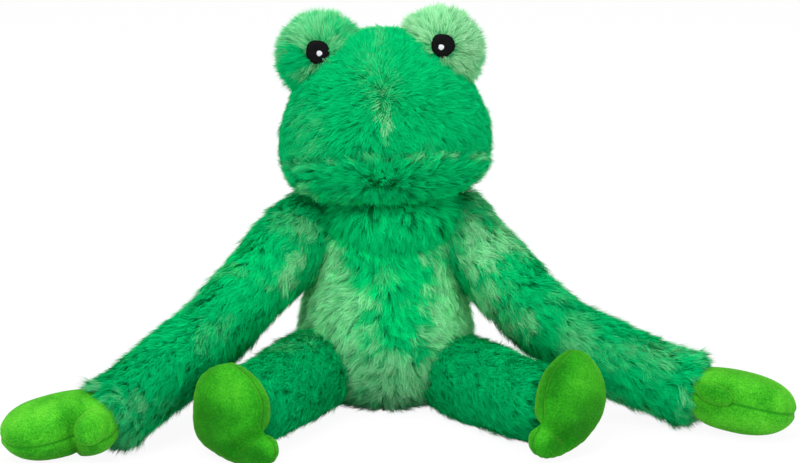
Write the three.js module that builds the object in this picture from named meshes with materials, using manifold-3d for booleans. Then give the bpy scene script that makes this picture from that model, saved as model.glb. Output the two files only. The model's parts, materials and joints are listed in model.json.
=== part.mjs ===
// A sitting plush frog: fur fabric panels over fibre filling, short-nap cloth hands and feet.
// Millimetres, +Z up. The frog faces -Y, and left is the viewer's left, -X.
import * as THREE from 'three';
import { mergeVertices } from 'three/addons/utils/BufferGeometryUtils.js';
import Module from 'manifold-3d';

const wasm = await Module();
wasm.setup();

// Cloth, seams and cuts
const seamGap = 0.3;
const furThick = 9;
const napClothThick = 3;
const floorCut = 0.5;
const overrun = 20;
const weld = 0.0001;
const half = 0.5;
const puffPower = 0.8;
const restSearch = 35;
const restSteps = 14;

// Torso: a pear that is widest low down. Rows are height, half width, front edge and back edge
const torso = { height: 152, width: 136, depth: 116, squareness: 2.2, sides: 18, rings: 11 };
const torsoShares = [
  [0.0, 0.0, 0.0, 0.0],
  [0.005, 0.4, -0.42, 0.4],
  [0.03, 0.64, -0.68, 0.64],
  [0.1, 0.83, -0.88, 0.83],
  [0.19, 0.95, -1.0, 0.94],
  [0.29, 1.0, -1.04, 0.98],
  [0.42, 0.99, -1.0, 0.96],
  [0.55, 0.93, -0.9, 0.9],
  [0.68, 0.86, -0.8, 0.82],
  [0.8, 0.8, -0.71, 0.74],
  [0.9, 0.74, -0.6, 0.66],
  [0.97, 0.56, -0.43, 0.48],
  [1.0, 0.0, 0.0, 0.0],
];

// Neck: a furred ball that the head turns and nods on
const neck = { radius: 29, height: 147, aside: 3, back: 2, sides: 14, rings: 7 };

// Head: a wide wedge with the snout forward. Rows are as the torso's, heights from the chin
const head = {
  height: 128, width: 157, depth: 130, chinLift: 12, squareness: 2.35, sides: 20, rings: 10, roll: 3,
};
const headShares = [
  [0.0, 0.0, -0.33, -0.33],
  [0.03, 0.52, -0.76, 0.16],
  [0.07, 0.77, -0.92, 0.4],
  [0.13, 0.91, -1.02, 0.6],
  [0.21, 0.98, -1.09, 0.74],
  [0.32, 1.0, -1.12, 0.84],
  [0.45, 0.99, -1.07, 0.88],
  [0.58, 0.92, -0.93, 0.86],
  [0.68, 0.82, -0.77, 0.81],
  [0.77, 0.7, -0.61, 0.73],
  [0.85, 0.57, -0.46, 0.63],
  [0.92, 0.43, -0.31, 0.51],
  [0.97, 0.27, -0.13, 0.35],
  [1.0, 0.0, 0.1, 0.1],
];
const mouth = { heightShare: 0.36, rise: 12.5 };

// Round pads behind the crown's corners, and the eye patches sewn on them
const eyePad = { width: 67, depth: 54, spread: 46.5, back: 13, heightShare: 0.84, sides: 12, rings: 7 };
const eyePatch = { radius: 9, thick: 1.4, pocketDepth: 4, lookUp: 15, sides: 14 };
const eyeGlint = { radius: 2.2, height: 1, taperShare: 0.75, inward: 1.3, down: 1.3, sides: 8 };

// Arms. Rows are distance along the piece and radius, as shares of its length and of its swell
const armSwell = 29;
const armBall = 29;
const armSides = 12;
const upperArmLength = 104;
const forearmLength = 104;
const upperArmShares = [
  [0.26, 0.92],
  [0.42, 1.0],
  [0.62, 0.99],
  [0.8, 0.92],
  [1.0, 0.86],
];
const forearmShares = [
  [0.26, 0.93],
  [0.45, 1.0],
  [0.68, 0.99],
  [0.86, 0.98],
  [0.94, 0.9],
  [0.97, 0.7],
];
const jointNeckShare = 0.87;
const throatEndShare = 0.19;
const coreEndShare = 0.9;
const shoulder = { heightShare: 0.85, outShare: 0.89, back: 2 };
const cuffLift = 2.5;

// Mitten hands: outline from the wrist to the tip, as shares of length and width
const hand = { length: 84, width: 51, thick: 44, ball: 17, roll: 10, sides: 19, rings: 5 };
const handShares = [
  [-0.1, 0.0],
  [0.02, -0.3],
  [0.14, -0.4],
  [0.36, -0.48],
  [0.6, -0.51],
  [0.82, -0.44],
  [0.96, -0.24],
  [1.0, 0.0],
  [0.96, 0.25],
  [0.85, 0.41],
  [0.7, 0.47],
  [0.57, 0.46],
  [0.49, 0.46],
  [0.46, 0.57],
  [0.41, 0.68],
  [0.32, 0.74],
  [0.2, 0.68],
  [0.12, 0.5],
  [0.02, 0.29],
];

// Legs and feet. The foot's outline is the sole's, with the toe lobe low on its inner side
const legSwell = 32;
const legBall = 30;
const legSides = 12;
const legLength = 104;
const legLift = 1;
const legShares = [
  [0.26, 0.93],
  [0.45, 1.0],
  [0.66, 1.0],
  [0.83, 0.94],
  [0.91, 0.8],
  [0.945, 0.62],
];
const hip = { outShare: 0.8, frontShare: 0.6 };
const foot = { width: 61, height: 74, thick: 35, ball: 21, reachShare: 0.6, tilt: 8, sides: 16, rings: 6 };
const footShares = [
  [0.0, 0.5],
  [-0.25, 0.46],
  [-0.43, 0.32],
  [-0.5, 0.12],
  [-0.49, -0.09],
  [-0.42, -0.27],
  [-0.26, -0.4],
  [0.0, -0.46],
  [0.28, -0.5],
  [0.52, -0.47],
  [0.61, -0.37],
  [0.56, -0.25],
  [0.38, -0.15],
  [0.41, 0.04],
  [0.37, 0.25],
  [0.23, 0.42],
];

// The sitting pose: how far each limb turns outwards from straight ahead, in degrees
const pose = {
  left: {
    side: -1, upperArm: 47, forearm: 45.5, hand: 71, elbowHeightShare: 0.43, leg: 25.5, foot: 29,
  },
  right: {
    side: 1, upperArm: 55, forearm: 74, hand: 73, elbowHeightShare: 0.36, leg: 37, foot: 30,
  },
};

// Fewer faces on the filling, which does not show
const core = { sides: 8, rings: 4 };
const seatSides = 12;
const ballSides = 10;
const ballSteps = 5;

const furGreen = new THREE.MeshStandardMaterial({ color: 0x12a55a, roughness: 0.95, metalness: 0 });
const furPale = new THREE.MeshStandardMaterial({ color: 0x6cc884, roughness: 0.95, metalness: 0 });
const limeCloth = new THREE.MeshStandardMaterial({ color: 0x46b42d, roughness: 0.85, metalness: 0 });
const blackFelt = new THREE.MeshStandardMaterial({ color: 0x14151a, roughness: 0.9, metalness: 0 });
const paleThread = new THREE.MeshStandardMaterial({ color: 0xc8ccd0, roughness: 0.6, metalness: 0 });
const fibre = new THREE.MeshStandardMaterial({ color: 0xf0eee8, roughness: 1, metalness: 0 });

const up = new THREE.Vector3(0, 0, 1);
const along = new THREE.Vector3(0, 1, 0);
const degrees = THREE.MathUtils.degToRad;

// A solid from a closed three.js geometry
function solidOf(geometry) {
  const bare = geometry.clone();
  bare.deleteAttribute('normal');
  bare.deleteAttribute('uv');
  const merged = mergeVertices(bare, weld);
  return new wasm.Manifold(new wasm.Mesh({
    numProp: 3,
    vertProperties: new Float32Array(merged.attributes.position.array),
    triVerts: new Uint32Array(merged.index.array),
  }));
}

// The row at a place between 0 and 1 down a table, on a smooth curve through its rows
function rowAt(table, place) {
  const last = table.length - 1;
  const low = Math.min(Math.floor(place * last), last - 1);
  const part = place * last - low;
  const rows = [-1, 0, 1, 2].map((step) => table[THREE.MathUtils.clamp(low + step, 0, last)]);
  return table[low].map((_, column) => {
    const [a, b, c, d] = rows.map((row) => row[column]);
    const pull = (c - a) * half;
    const push = (d - b) * half;
    const bend = 3 * (c - b) - 2 * pull - push;
    const turn = 2 * (b - c) + pull + push;
    return b + part * (pull + part * (bend + part * turn));
  });
}

// A closed surface through rings of points, with a point at each end
function closedSurface(lowEnd, rings, highEnd) {
  const sides = rings[0].length;
  const points = [lowEnd, ...rings.flat(), highEnd];
  const top = points.length - 1;
  const faces = [];
  for (let side = 0; side < sides; side += 1) {
    const next = (side + 1) % sides;
    faces.push(0, 1 + next, 1 + side);
    for (let ring = 1; ring < rings.length; ring += 1) {
      const low = 1 + (ring - 1) * sides;
      const high = low + sides;
      faces.push(low + side, low + next, high + next);
      faces.push(low + side, high + next, high + side);
    }
    faces.push(top, top - sides + side, top - sides + next);
  }
  const geometry = new THREE.BufferGeometry().setFromPoints(points);
  geometry.setIndex(faces);
  return geometry;
}

// A body of rounded level sections, grown outwards or, where grow is negative, inwards
function levelForm(size, shares, grow, sides = size.sides, count = size.rings) {
  const reach = size.depth * half;
  const heightOf = (share) => share * size.height + grow * (2 * share - 1);
  const end = (row) => new THREE.Vector3(0, row[2] * reach, heightOf(row[0]));
  const rings = [];
  for (let ring = 1; ring < count; ring += 1) {
    const [height, width, front, back] = rowAt(shares, ring / count);
    const halfWidth = width * size.width * half + grow;
    const halfDepth = (back - front) * half * reach + grow;
    const middle = (back + front) * half * reach;
    const points = [];
    for (let side = 0; side < sides; side += 1) {
      const angle = 2 * Math.PI * side / sides;
      const across = Math.cos(angle);
      const ahead = Math.sin(angle);
      const power = 2 / size.squareness;
      const x = halfWidth * Math.sign(across) * Math.abs(across) ** power;
      const y = middle + halfDepth * Math.sign(ahead) * Math.abs(ahead) ** power;
      points.push(new THREE.Vector3(x, y, heightOf(height)));
    }
    rings.push(points);
  }
  return solidOf(closedSurface(end(shares[0]), rings, end(shares[shares.length - 1])));
}

// A stuffed flat shape: a smooth outline that swells to its thickness in the middle
function pillow(size, spanX, spanY, shares, grow, sides = size.sides, count = size.rings) {
  const corners = shares.map(([x, y]) => new THREE.Vector3(x * spanX, y * spanY, 0));
  const outline = new THREE.CatmullRomCurve3(corners, true, 'catmullrom').getPoints(sides).slice(0, sides);
  const middle = new THREE.Box3().setFromPoints(outline).getCenter(new THREE.Vector3());
  const thick = size.thick * half + grow;
  const rings = [];
  for (let ring = 1; ring < count; ring += 1) {
    const angle = Math.PI * (ring / count - half);
    rings.push(outline.map((edge) => {
      const out = edge.clone().sub(middle);
      out.setLength((out.length() + grow) * Math.cos(angle) ** puffPower);
      return out.add(middle).setZ(thick * Math.sin(angle));
    }));
  }
  const end = (height) => middle.clone().setZ(height);
  return solidOf(closedSurface(end(-thick), rings, end(thick)));
}

// A round solid from a profile of radius and distance, along +Y from its pivot
function turned(profile, sides) {
  return solidOf(new THREE.LatheGeometry(profile, sides));
}

// A ball big enough, faces and all, to leave the seam gap round another ball
function seatFor(centre, radius) {
  const seat = (radius + seamGap) / Math.cos(Math.PI / seatSides) ** 2;
  return move(solidOf(new THREE.SphereGeometry(seat, seatSides, seatSides * half)), centre);
}

// The profile of a limb's ball, from its pole to where the drawn-in neck begins
function ballProfile(ball) {
  const lastTurn = Math.acos(jointNeckShare);
  const profile = [];
  for (let step = 0; step <= ballSteps; step += 1) {
    const angle = THREE.MathUtils.lerp(-Math.PI * half, lastTurn, step / ballSteps);
    const radius = step === 0 ? 0 : ball * Math.cos(angle);
    profile.push(new THREE.Vector2(radius, ball * Math.sin(angle)));
  }
  return profile;
}

// The room that a limb's ball turns in, with the same facets, within its seat
function ballRoom(ball, sides) {
  const radius = ball + seamGap * half;
  return turned([...ballProfile(radius), new THREE.Vector2(0, radius)], sides);
}

// The outside of a limb: a ball round its pivot, a drawn-in neck, then its swell
function limbOutside(length, ball, swell, shares, sides) {
  const throat = ball * jointNeckShare;
  const profile = ballProfile(ball);
  profile.push(new THREE.Vector2(throat, length * throatEndShare));
  shares.forEach(([place, radius]) => profile.push(new THREE.Vector2(radius * swell, place * length)));
  profile.push(new THREE.Vector2(0, shares[shares.length - 1][0] * length));
  return turned(profile, sides);
}

// The room for a limb's filling, open through both of its ends
function limbCore(length, ball, swell, shares, thick, sides) {
  const throat = ball * jointNeckShare - thick;
  const inside = shares.filter(([place]) => place < coreEndShare);
  const endRadius = inside[inside.length - 1][1] * swell - thick;
  const profile = [
    new THREE.Vector2(0, -overrun - ball),
    new THREE.Vector2(throat, -overrun - ball),
    new THREE.Vector2(throat, length * throatEndShare),
    ...inside.map(([place, radius]) => new THREE.Vector2(radius * swell - thick, place * length)),
    new THREE.Vector2(endRadius, length + overrun),
    new THREE.Vector2(0, length + overrun),
  ];
  return turned(profile, sides);
}

function move(solid, place) {
  return solid.translate([place.x, place.y, place.z]);
}

// Lays a solid made along +Y from one point towards another
function aim(solid, from, to) {
  const direction = to.clone().sub(from).normalize();
  const turn = new THREE.Quaternion().setFromUnitVectors(along, direction);
  const matrix = new THREE.Matrix4().compose(from, turn, new THREE.Vector3(1, 1, 1));
  return solid.transform(matrix.elements);
}

function above(solid, height = 0) {
  return solid.trimByPlane([0, 0, 1], height);
}

// The two parts of a solid on either side of a sewn seam
function splitAtSeam(solid, normal, place) {
  const level = normal.dot(place);
  const across = [normal.x, normal.y, normal.z];
  const back = across.map((value) => -value);
  const gap = seamGap * half;
  return [solid.trimByPlane(across, level + gap), solid.trimByPlane(back, gap - level)];
}

// A point reached over the floor from another, turned outwards, ending at a height
function reachTo(from, side, turn, length, height) {
  const level = Math.sqrt(length ** 2 - (height - from.z) ** 2);
  const angle = degrees(turn);
  return new THREE.Vector3(
    from.x + side * level * Math.sin(angle),
    from.y - level * Math.cos(angle),
    height,
  );
}

// Skin and filling of one sewn form, each cut by whatever its neighbours need
function sew(outside, room, filling, cutters = [], fillingCutters = cutters) {
  const cut = (solid, tools) => above(tools.reduce((left, tool) => left.subtract(tool), solid));
  return {
    skin: cut(outside.subtract(room), cutters),
    filling: cut(outside.intersect(filling), fillingCutters),
  };
}

// Joint centres of one side's arm and leg
function jointsOf(limb) {
  const { side } = limb;
  const shoulderAt = new THREE.Vector3(
    side * shoulder.outShare * torso.width * half,
    shoulder.back,
    shoulder.heightShare * torso.height,
  );
  const wristHeight = forearmShares[3][1] * armSwell + cuffLift;
  const elbowHeight = THREE.MathUtils.lerp(wristHeight, shoulderAt.z, limb.elbowHeightShare);
  const elbow = reachTo(shoulderAt, side, limb.upperArm, upperArmLength, elbowHeight);
  const wrist = reachTo(elbow, side, limb.forearm, forearmLength, wristHeight);
  const hipAt = new THREE.Vector3(
    side * hip.outShare * torso.width * half,
    -hip.frontShare * torso.depth * half,
    legSwell + legLift,
  );
  const ankle = reachTo(hipAt, side, limb.leg, legLength, legSwell + legLift);
  return { shoulderAt, elbow, wrist, hipAt, ankle };
}

// The turn, downwards or up, that brings a solid's lowest point to the floor
function restTurn(solidAt) {
  const lowest = (angle) => solidAt(angle).boundingBox().min[2];
  let low = -restSearch;
  let high = restSearch;
  for (let step = 0; step < restSteps; step += 1) {
    const middle = (low + high) * half;
    if (lowest(middle) > -floorCut) {
      low = middle;
    } else {
      high = middle;
    }
  }
  return (low + high) * half;
}

// A hand's own directions: to its tip, to its thumb and up through its back
function handFrame(limb, pitch) {
  const turn = degrees(limb.hand);
  const level = new THREE.Vector3(limb.side * Math.sin(turn), -Math.cos(turn), 0);
  const tip = level.clone().multiplyScalar(Math.cos(degrees(pitch)));
  tip.addScaledVector(up, -Math.sin(degrees(pitch)));
  const thumb = new THREE.Vector3(-limb.side * Math.cos(turn), -Math.sin(turn), 0);
  thumb.addScaledVector(up, -Math.tan(degrees(hand.roll))).normalize();
  thumb.addScaledVector(tip, -thumb.dot(tip)).normalize();
  const back = new THREE.Vector3().crossVectors(tip, thumb).multiplyScalar(limb.side * -1);
  return { tip, thumb, back };
}

function handOutside(limb, wrist, pitch, grow, sides, count) {
  const { tip, thumb, back } = handFrame(limb, pitch);
  const matrix = new THREE.Matrix4().makeBasis(tip, thumb, back).setPosition(wrist);
  const mitt = pillow(hand, hand.length, hand.width, handShares, grow, sides, count);
  const ball = solidOf(new THREE.SphereGeometry(hand.ball + grow, ballSides, ballSides * half));
  return mitt.transform(matrix.elements).add(move(ball, wrist));
}

// One mitten: back panel, palm panel and filling
function makeHand(limb, wrist) {
  const pitch = restTurn((angle) => handOutside(limb, wrist, angle, 0));
  const { back } = handFrame(limb, pitch);
  const outside = handOutside(limb, wrist, pitch, 0);
  const room = handOutside(limb, wrist, pitch, -napClothThick, hand.sides, core.rings);
  const fill = handOutside(limb, wrist, pitch, -napClothThick - seamGap, hand.sides, core.rings);
  const { skin, filling } = sew(outside, room, fill);
  const [backPanel, palmPanel] = splitAtSeam(skin, back, wrist);
  return { backPanel, palmPanel, filling };
}

// A foot's own directions: inwards, up and out through its sole
function footFrame(limb) {
  const turn = degrees(limb.foot);
  const tilt = degrees(foot.tilt);
  const inward = new THREE.Vector3(-limb.side * Math.cos(turn), -Math.sin(turn), 0);
  const sole = new THREE.Vector3(limb.side * Math.sin(turn), -Math.cos(turn), 0);
  sole.multiplyScalar(Math.cos(tilt)).addScaledVector(up, Math.sin(tilt));
  const rise = new THREE.Vector3().crossVectors(inward, sole).multiplyScalar(limb.side);
  return { inward, rise, sole };
}

function footOutside(limb, ankle, lift, grow, sides, count) {
  const { inward, rise, sole } = footFrame(limb);
  const middle = ankle.clone().addScaledVector(sole, foot.thick * foot.reachShare);
  middle.z += lift;
  const matrix = new THREE.Matrix4().makeBasis(inward, rise, sole).setPosition(middle);
  const pad = pillow(foot, foot.width, foot.height, footShares, grow, sides, count);
  const ball = solidOf(new THREE.SphereGeometry(foot.ball + grow, ballSides, ballSides * half));
  return { solid: pad.transform(matrix.elements).add(move(ball, ankle)), middle };
}

// One foot: sole, upper and filling
function makeFoot(limb, ankle) {
  const { sole } = footFrame(limb);
  const lift = -floorCut - footOutside(limb, ankle, 0, 0).solid.boundingBox().min[2];
  const outside = footOutside(limb, ankle, lift, 0);
  const room = footOutside(limb, ankle, lift, -napClothThick, foot.sides, core.rings).solid;
  const fill = footOutside(limb, ankle, lift, -napClothThick - seamGap, foot.sides, core.rings).solid;
  const { skin, filling } = sew(outside.solid, room, fill);
  const [solePanel, upperPanel] = splitAtSeam(skin, sole, outside.middle);
  return { solePanel, upperPanel, filling };
}

function torsoForm(grow, sides, rings) {
  return move(levelForm(torso, torsoShares, grow, sides, rings), new THREE.Vector3(0, 0, -floorCut));
}

// The seam that the torso cuts round a limb, outside the room of the limb's ball
function torsoCutter(room) {
  return torsoForm(seamGap).subtract(room);
}

// Takes off the end of a limb's filling where the ball of the next piece begins
function endCut(from, to, ball) {
  const width = Math.max(armSwell, legSwell) * 2;
  const depth = ball + seamGap + overrun;
  const block = solidOf(new THREE.BoxGeometry(width, depth, width));
  const length = to.clone().sub(from);
  const end = to.clone().add(length.clone().setLength(overrun - depth * half));
  return aim(block, end, end.clone().add(length));
}

function makeUpperArm(joints) {
  const { shoulderAt, elbow } = joints;
  const build = (make) => aim(make, shoulderAt, elbow);
  const outside = limbOutside(upperArmLength, armBall, armSwell, upperArmShares, armSides);
  const room = limbCore(upperArmLength, armBall, armSwell, upperArmShares, furThick, core.sides);
  const fill = limbCore(
    upperArmLength, armBall, armSwell, upperArmShares, furThick + seamGap, core.sides,
  );
  const cutters = [seatFor(elbow, armBall), torsoCutter(build(ballRoom(armBall, armSides)))];
  return sew(build(outside), build(room), build(fill), cutters);
}

function makeForearm(joints) {
  const { elbow, wrist } = joints;
  const build = (make) => aim(make, elbow, wrist);
  const outside = limbOutside(forearmLength, armBall, armSwell, forearmShares, armSides);
  const room = limbCore(forearmLength, armBall, armSwell, forearmShares, furThick, core.sides);
  const fill = limbCore(
    forearmLength, armBall, armSwell, forearmShares, furThick + seamGap, core.sides,
  );
  const seat = seatFor(wrist, hand.ball);
  return sew(build(outside), build(room), build(fill), [seat], [endCut(elbow, wrist, hand.ball)]);
}

function makeLeg(joints) {
  const { hipAt, ankle } = joints;
  const build = (make) => aim(make, hipAt, ankle);
  const outside = limbOutside(legLength, legBall, legSwell, legShares, legSides);
  const room = limbCore(legLength, legBall, legSwell, legShares, furThick, core.sides);
  const fill = limbCore(legLength, legBall, legSwell, legShares, furThick + seamGap, core.sides);
  const cutter = torsoCutter(build(ballRoom(legBall, legSides)));
  const cutters = [seatFor(ankle, foot.ball), cutter];
  return sew(build(outside), build(room), build(fill), cutters, [endCut(hipAt, ankle, foot.ball), cutter]);
}

function makeTorso(seats) {
  const room = torsoForm(-furThick, core.sides, core.rings);
  const fill = torsoForm(-furThick - seamGap, core.sides, core.rings);
  const { skin, filling } = sew(torsoForm(0), room, fill, seats);
  const [right, left] = splitAtSeam(skin, new THREE.Vector3(1, 0, 0), new THREE.Vector3());
  return { left, right, filling };
}

// The head is made upright round the neck's centre, then rolled a little
function placeHead(solid) {
  return move(solid.rotate([0, -head.roll, 0]), neckAt);
}

function headForm(grow, sides, rings) {
  return move(levelForm(head, headShares, grow, sides, rings), new THREE.Vector3(0, 0, head.chinLift));
}

function makeHead() {
  const seat = seatFor(new THREE.Vector3(), neck.radius);
  const outside = headForm(0);
  const room = headForm(-furThick, core.sides, core.rings);
  const fill = headForm(-furThick - seamGap, core.sides, core.rings);
  const skin = outside.subtract(room).subtract(seat);
  const filling = outside.intersect(fill).subtract(seat);
  const front = new THREE.Vector3(0, headShares[5][2] * head.depth * half, 0);
  front.z = head.chinLift + mouth.heightShare * head.height;
  const normal = up.clone().applyAxisAngle(new THREE.Vector3(1, 0, 0), -degrees(mouth.rise));
  const [crown, jaw] = splitAtSeam(skin, normal, front);
  return { crown: placeHead(crown), jaw: placeHead(jaw), filling: placeHead(filling) };
}

function padOutside(centre, grow, sides, rings) {
  const ball = solidOf(new THREE.SphereGeometry(1, sides, rings));
  const across = eyePad.width * half + grow;
  return move(ball.scale([across, eyePad.depth * half + grow, across]), centre);
}

// One eye: pad skin and filling, patch in its clearing and the glint on it
function makeEye(side) {
  const centre = new THREE.Vector3(side * eyePad.spread, eyePad.back, 0);
  centre.z = head.chinLift + eyePad.heightShare * head.height;
  const look = new THREE.Vector3(0, -1, 0).applyAxisAngle(new THREE.Vector3(1, 0, 0), -degrees(eyePatch.lookUp));
  const surface = eyeSurface(look);
  const disc = (radius, narrow, low, high, sides) => {
    const shape = new THREE.CylinderGeometry(narrow, radius, high - low, sides);
    return aim(
      solidOf(shape),
      centre.clone().addScaledVector(look, (low + high) * half),
      centre.clone().addScaledVector(look, high + overrun),
    );
  };
  const floor = surface - eyePatch.pocketDepth;
  const wide = eyePatch.radius + seamGap;
  const pocket = disc(wide, wide, floor, surface + overrun, eyePatch.sides);
  const crown = headForm(seamGap);
  const outside = padOutside(centre, 0, eyePad.sides, eyePad.rings).subtract(crown).subtract(pocket);
  const room = padOutside(centre, -furThick, core.sides, core.rings);
  const fill = padOutside(centre, -furThick - seamGap, core.sides, core.rings);
  const patchLow = floor + seamGap;
  const patchHigh = patchLow + eyePatch.thick;
  const patch = disc(eyePatch.radius, eyePatch.radius, patchLow, patchHigh, eyePatch.sides);
  const glintLow = patchHigh + seamGap;
  const glint = disc(
    eyeGlint.radius, eyeGlint.radius * eyeGlint.taperShare, glintLow, glintLow + eyeGlint.height, eyeGlint.sides,
  );
  const aside = new THREE.Vector3(-side * eyeGlint.inward, 0, 0).addScaledVector(
    new THREE.Vector3().crossVectors(look, new THREE.Vector3(1, 0, 0)), eyeGlint.down,
  );
  return {
    skin: placeHead(outside.subtract(room)),
    filling: placeHead(outside.intersect(fill)),
    patch: placeHead(patch.subtract(crown)),
    glint: placeHead(move(glint, aside)),
  };
}

// How far an eye pad's surface lies from its centre in a direction
function eyeSurface(look) {
  const across = eyePad.width * half;
  return 1 / Math.hypot(look.x / across, look.y / (eyePad.depth * half), look.z / across);
}

const object = new THREE.Group();

// A group at a joint centre, which holds the pieces of one moving body
function bodyAt(centre, parent = null) {
  const group = new THREE.Group();
  group.position.copy(centre);
  group.userData.centre = centre.clone();
  if (parent) {
    group.position.sub(parent.userData.centre);
  }
  (parent ?? object).add(group);
  return group;
}

function add(body, name, solid, material) {
  const { vertProperties, triVerts } = move(solid, body.userData.centre.clone().negate()).getMesh();
  const geometry = new THREE.BufferGeometry();
  geometry.setAttribute('position', new THREE.BufferAttribute(new Float32Array(vertProperties), 3));
  geometry.setIndex(new THREE.BufferAttribute(new Uint32Array(triVerts), 1));
  geometry.computeVertexNormals();
  const mesh = new THREE.Mesh(geometry, material);
  mesh.name = name;
  body.add(mesh);
}

function addArm(name, limb, torsoBody, joints) {
  const mitt = makeHand(limb, joints.wrist);
  const upperArm = makeUpperArm(joints);
  const forearm = makeForearm(joints);
  const upperBody = bodyAt(joints.shoulderAt, torsoBody);
  add(upperBody, `upper_arm_skin_${name}`, upperArm.skin, furGreen);
  add(upperBody, `upper_arm_filling_${name}`, upperArm.filling, fibre);
  const forearmBody = bodyAt(joints.elbow, upperBody);
  add(forearmBody, `forearm_skin_${name}`, forearm.skin, furGreen);
  add(forearmBody, `forearm_filling_${name}`, forearm.filling, fibre);
  const handBody = bodyAt(joints.wrist, forearmBody);
  add(handBody, `hand_back_${name}`, mitt.backPanel, limeCloth);
  add(handBody, `hand_palm_${name}`, mitt.palmPanel, limeCloth);
  add(handBody, `hand_filling_${name}`, mitt.filling, fibre);
}

function addLeg(name, limb, torsoBody, joints) {
  const paw = makeFoot(limb, joints.ankle);
  const leg = makeLeg(joints);
  const legBody = bodyAt(joints.hipAt, torsoBody);
  add(legBody, `leg_skin_${name}`, leg.skin, furGreen);
  add(legBody, `leg_filling_${name}`, leg.filling, fibre);
  const footBody = bodyAt(joints.ankle, legBody);
  add(footBody, `foot_sole_${name}`, paw.solePanel, limeCloth);
  add(footBody, `foot_upper_${name}`, paw.upperPanel, limeCloth);
  add(footBody, `foot_filling_${name}`, paw.filling, fibre);
}

function addHead(neckBody) {
  const headBody = bodyAt(neckAt, neckBody);
  const skull = makeHead();
  add(headBody, 'head_crown', skull.crown, furGreen);
  add(headBody, 'head_jaw', skull.jaw, furGreen);
  add(headBody, 'head_filling', skull.filling, fibre);
  Object.entries(pose).forEach(([name, limb]) => {
    const eye = makeEye(limb.side);
    add(headBody, `eye_pad_${name}`, eye.skin, furPale);
    add(headBody, `eye_pad_filling_${name}`, eye.filling, fibre);
    add(headBody, `eye_patch_${name}`, eye.patch, blackFelt);
    add(headBody, `eye_glint_${name}`, eye.glint, paleThread);
  });
}

const neckAt = new THREE.Vector3(neck.aside, neck.back, neck.height);
const sides = Object.entries(pose).map(([name, limb]) => ({ name, limb, joints: jointsOf(limb) }));
const seats = [
  seatFor(neckAt, neck.radius),
  ...sides.flatMap(({ joints }) => [seatFor(joints.shoulderAt, armBall), seatFor(joints.hipAt, legBall)]),
];

const torsoBody = bodyAt(new THREE.Vector3());
const { left, right, filling } = makeTorso(seats);
add(torsoBody, 'torso_left', left, furGreen);
add(torsoBody, 'torso_right', right, furGreen);
add(torsoBody, 'torso_filling', filling, fibre);

const neckBody = bodyAt(neckAt, torsoBody);
const neckBall = solidOf(new THREE.SphereGeometry(neck.radius, neck.sides, neck.rings));
add(neckBody, 'neck_ball', move(neckBall, neckAt), furGreen);
addHead(neckBody);
sides.forEach(({ name, limb, joints }) => {
  addArm(name, limb, torsoBody, joints);
  addLeg(name, limb, torsoBody, joints);
});

// The frame's origin: the middle of the whole part's box, on the floor
object.updateMatrixWorld(true);
const box = new THREE.Box3().setFromObject(object);
const middle = box.getCenter(new THREE.Vector3());
object.position.set(-middle.x, -middle.y, -box.min.z);

export default object;
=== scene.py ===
import json
import logging
import math
from dataclasses import dataclass, field
from enum import Enum
from typing import Callable, Optional

import bmesh
import bpy
import numpy as np
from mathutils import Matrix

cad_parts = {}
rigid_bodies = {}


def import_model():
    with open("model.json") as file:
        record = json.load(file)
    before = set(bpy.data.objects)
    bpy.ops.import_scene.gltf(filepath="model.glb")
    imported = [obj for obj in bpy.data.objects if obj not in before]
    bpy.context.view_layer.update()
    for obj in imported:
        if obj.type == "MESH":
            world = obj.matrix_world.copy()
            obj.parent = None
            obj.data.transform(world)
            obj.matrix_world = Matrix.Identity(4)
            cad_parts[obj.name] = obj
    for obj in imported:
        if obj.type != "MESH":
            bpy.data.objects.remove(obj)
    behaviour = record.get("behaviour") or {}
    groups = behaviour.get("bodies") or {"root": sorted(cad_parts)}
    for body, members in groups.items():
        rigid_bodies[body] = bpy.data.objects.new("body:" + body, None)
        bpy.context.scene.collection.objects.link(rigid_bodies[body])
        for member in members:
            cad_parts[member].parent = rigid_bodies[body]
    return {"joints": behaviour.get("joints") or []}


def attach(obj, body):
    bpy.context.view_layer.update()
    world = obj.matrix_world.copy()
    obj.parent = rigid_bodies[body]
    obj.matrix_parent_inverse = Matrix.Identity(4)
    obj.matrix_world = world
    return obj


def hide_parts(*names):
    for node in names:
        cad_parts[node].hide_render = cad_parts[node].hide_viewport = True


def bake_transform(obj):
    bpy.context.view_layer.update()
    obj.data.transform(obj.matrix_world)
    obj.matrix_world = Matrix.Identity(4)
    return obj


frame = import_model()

Array = np.ndarray
Field = Callable[[Array], Array]
Pair = tuple[float, float]
Triple = tuple[float, float, float]
Stops = tuple[tuple[float, str], ...]
Ovals = tuple[tuple[float, ...], ...]
Piece = bpy.types.Object
Material = bpy.types.Material
Tree = bpy.types.NodeTree
Socket = bpy.types.NodeSocket

LOG = logging.getLogger("plush_frog")
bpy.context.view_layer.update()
METRES = 0.001
TINY = 1e-9
OUTSIDE = -1.0
TURN = 2 * math.pi
UP = np.array([0.0, 0.0, 1.0])
JOINTS = {joint["name"]: np.array(joint["pos_m"]) / METRES for joint in frame["joints"]}
NECK_AT = JOINTS["neck_turn"]
SEAT = NECK_AT - np.array([3.0, 2.0, 147.0])
FLOOR_GAP = 0.3
STRANDS_PER_PIECE = 65000
WHITE = "#FFFFFF"


class Slot(str, Enum):
    """The record's material slots."""

    FUR_GREEN = "fur_green"
    FUR_PALE = "fur_pale"
    LIME_CLOTH = "lime_cloth"
    BLACK_FELT = "black_felt"
    PALE_THREAD = "pale_thread"


class Side(Enum):
    """A side of the frog: its word in the frame's names, and its sign along X."""

    LEFT = ("left", -1)
    RIGHT = ("right", 1)

    def __init__(self, label: str, sign: int) -> None:
        """Names the two."""
        self.label, self.sign = label, sign


# Small maths.


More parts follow.
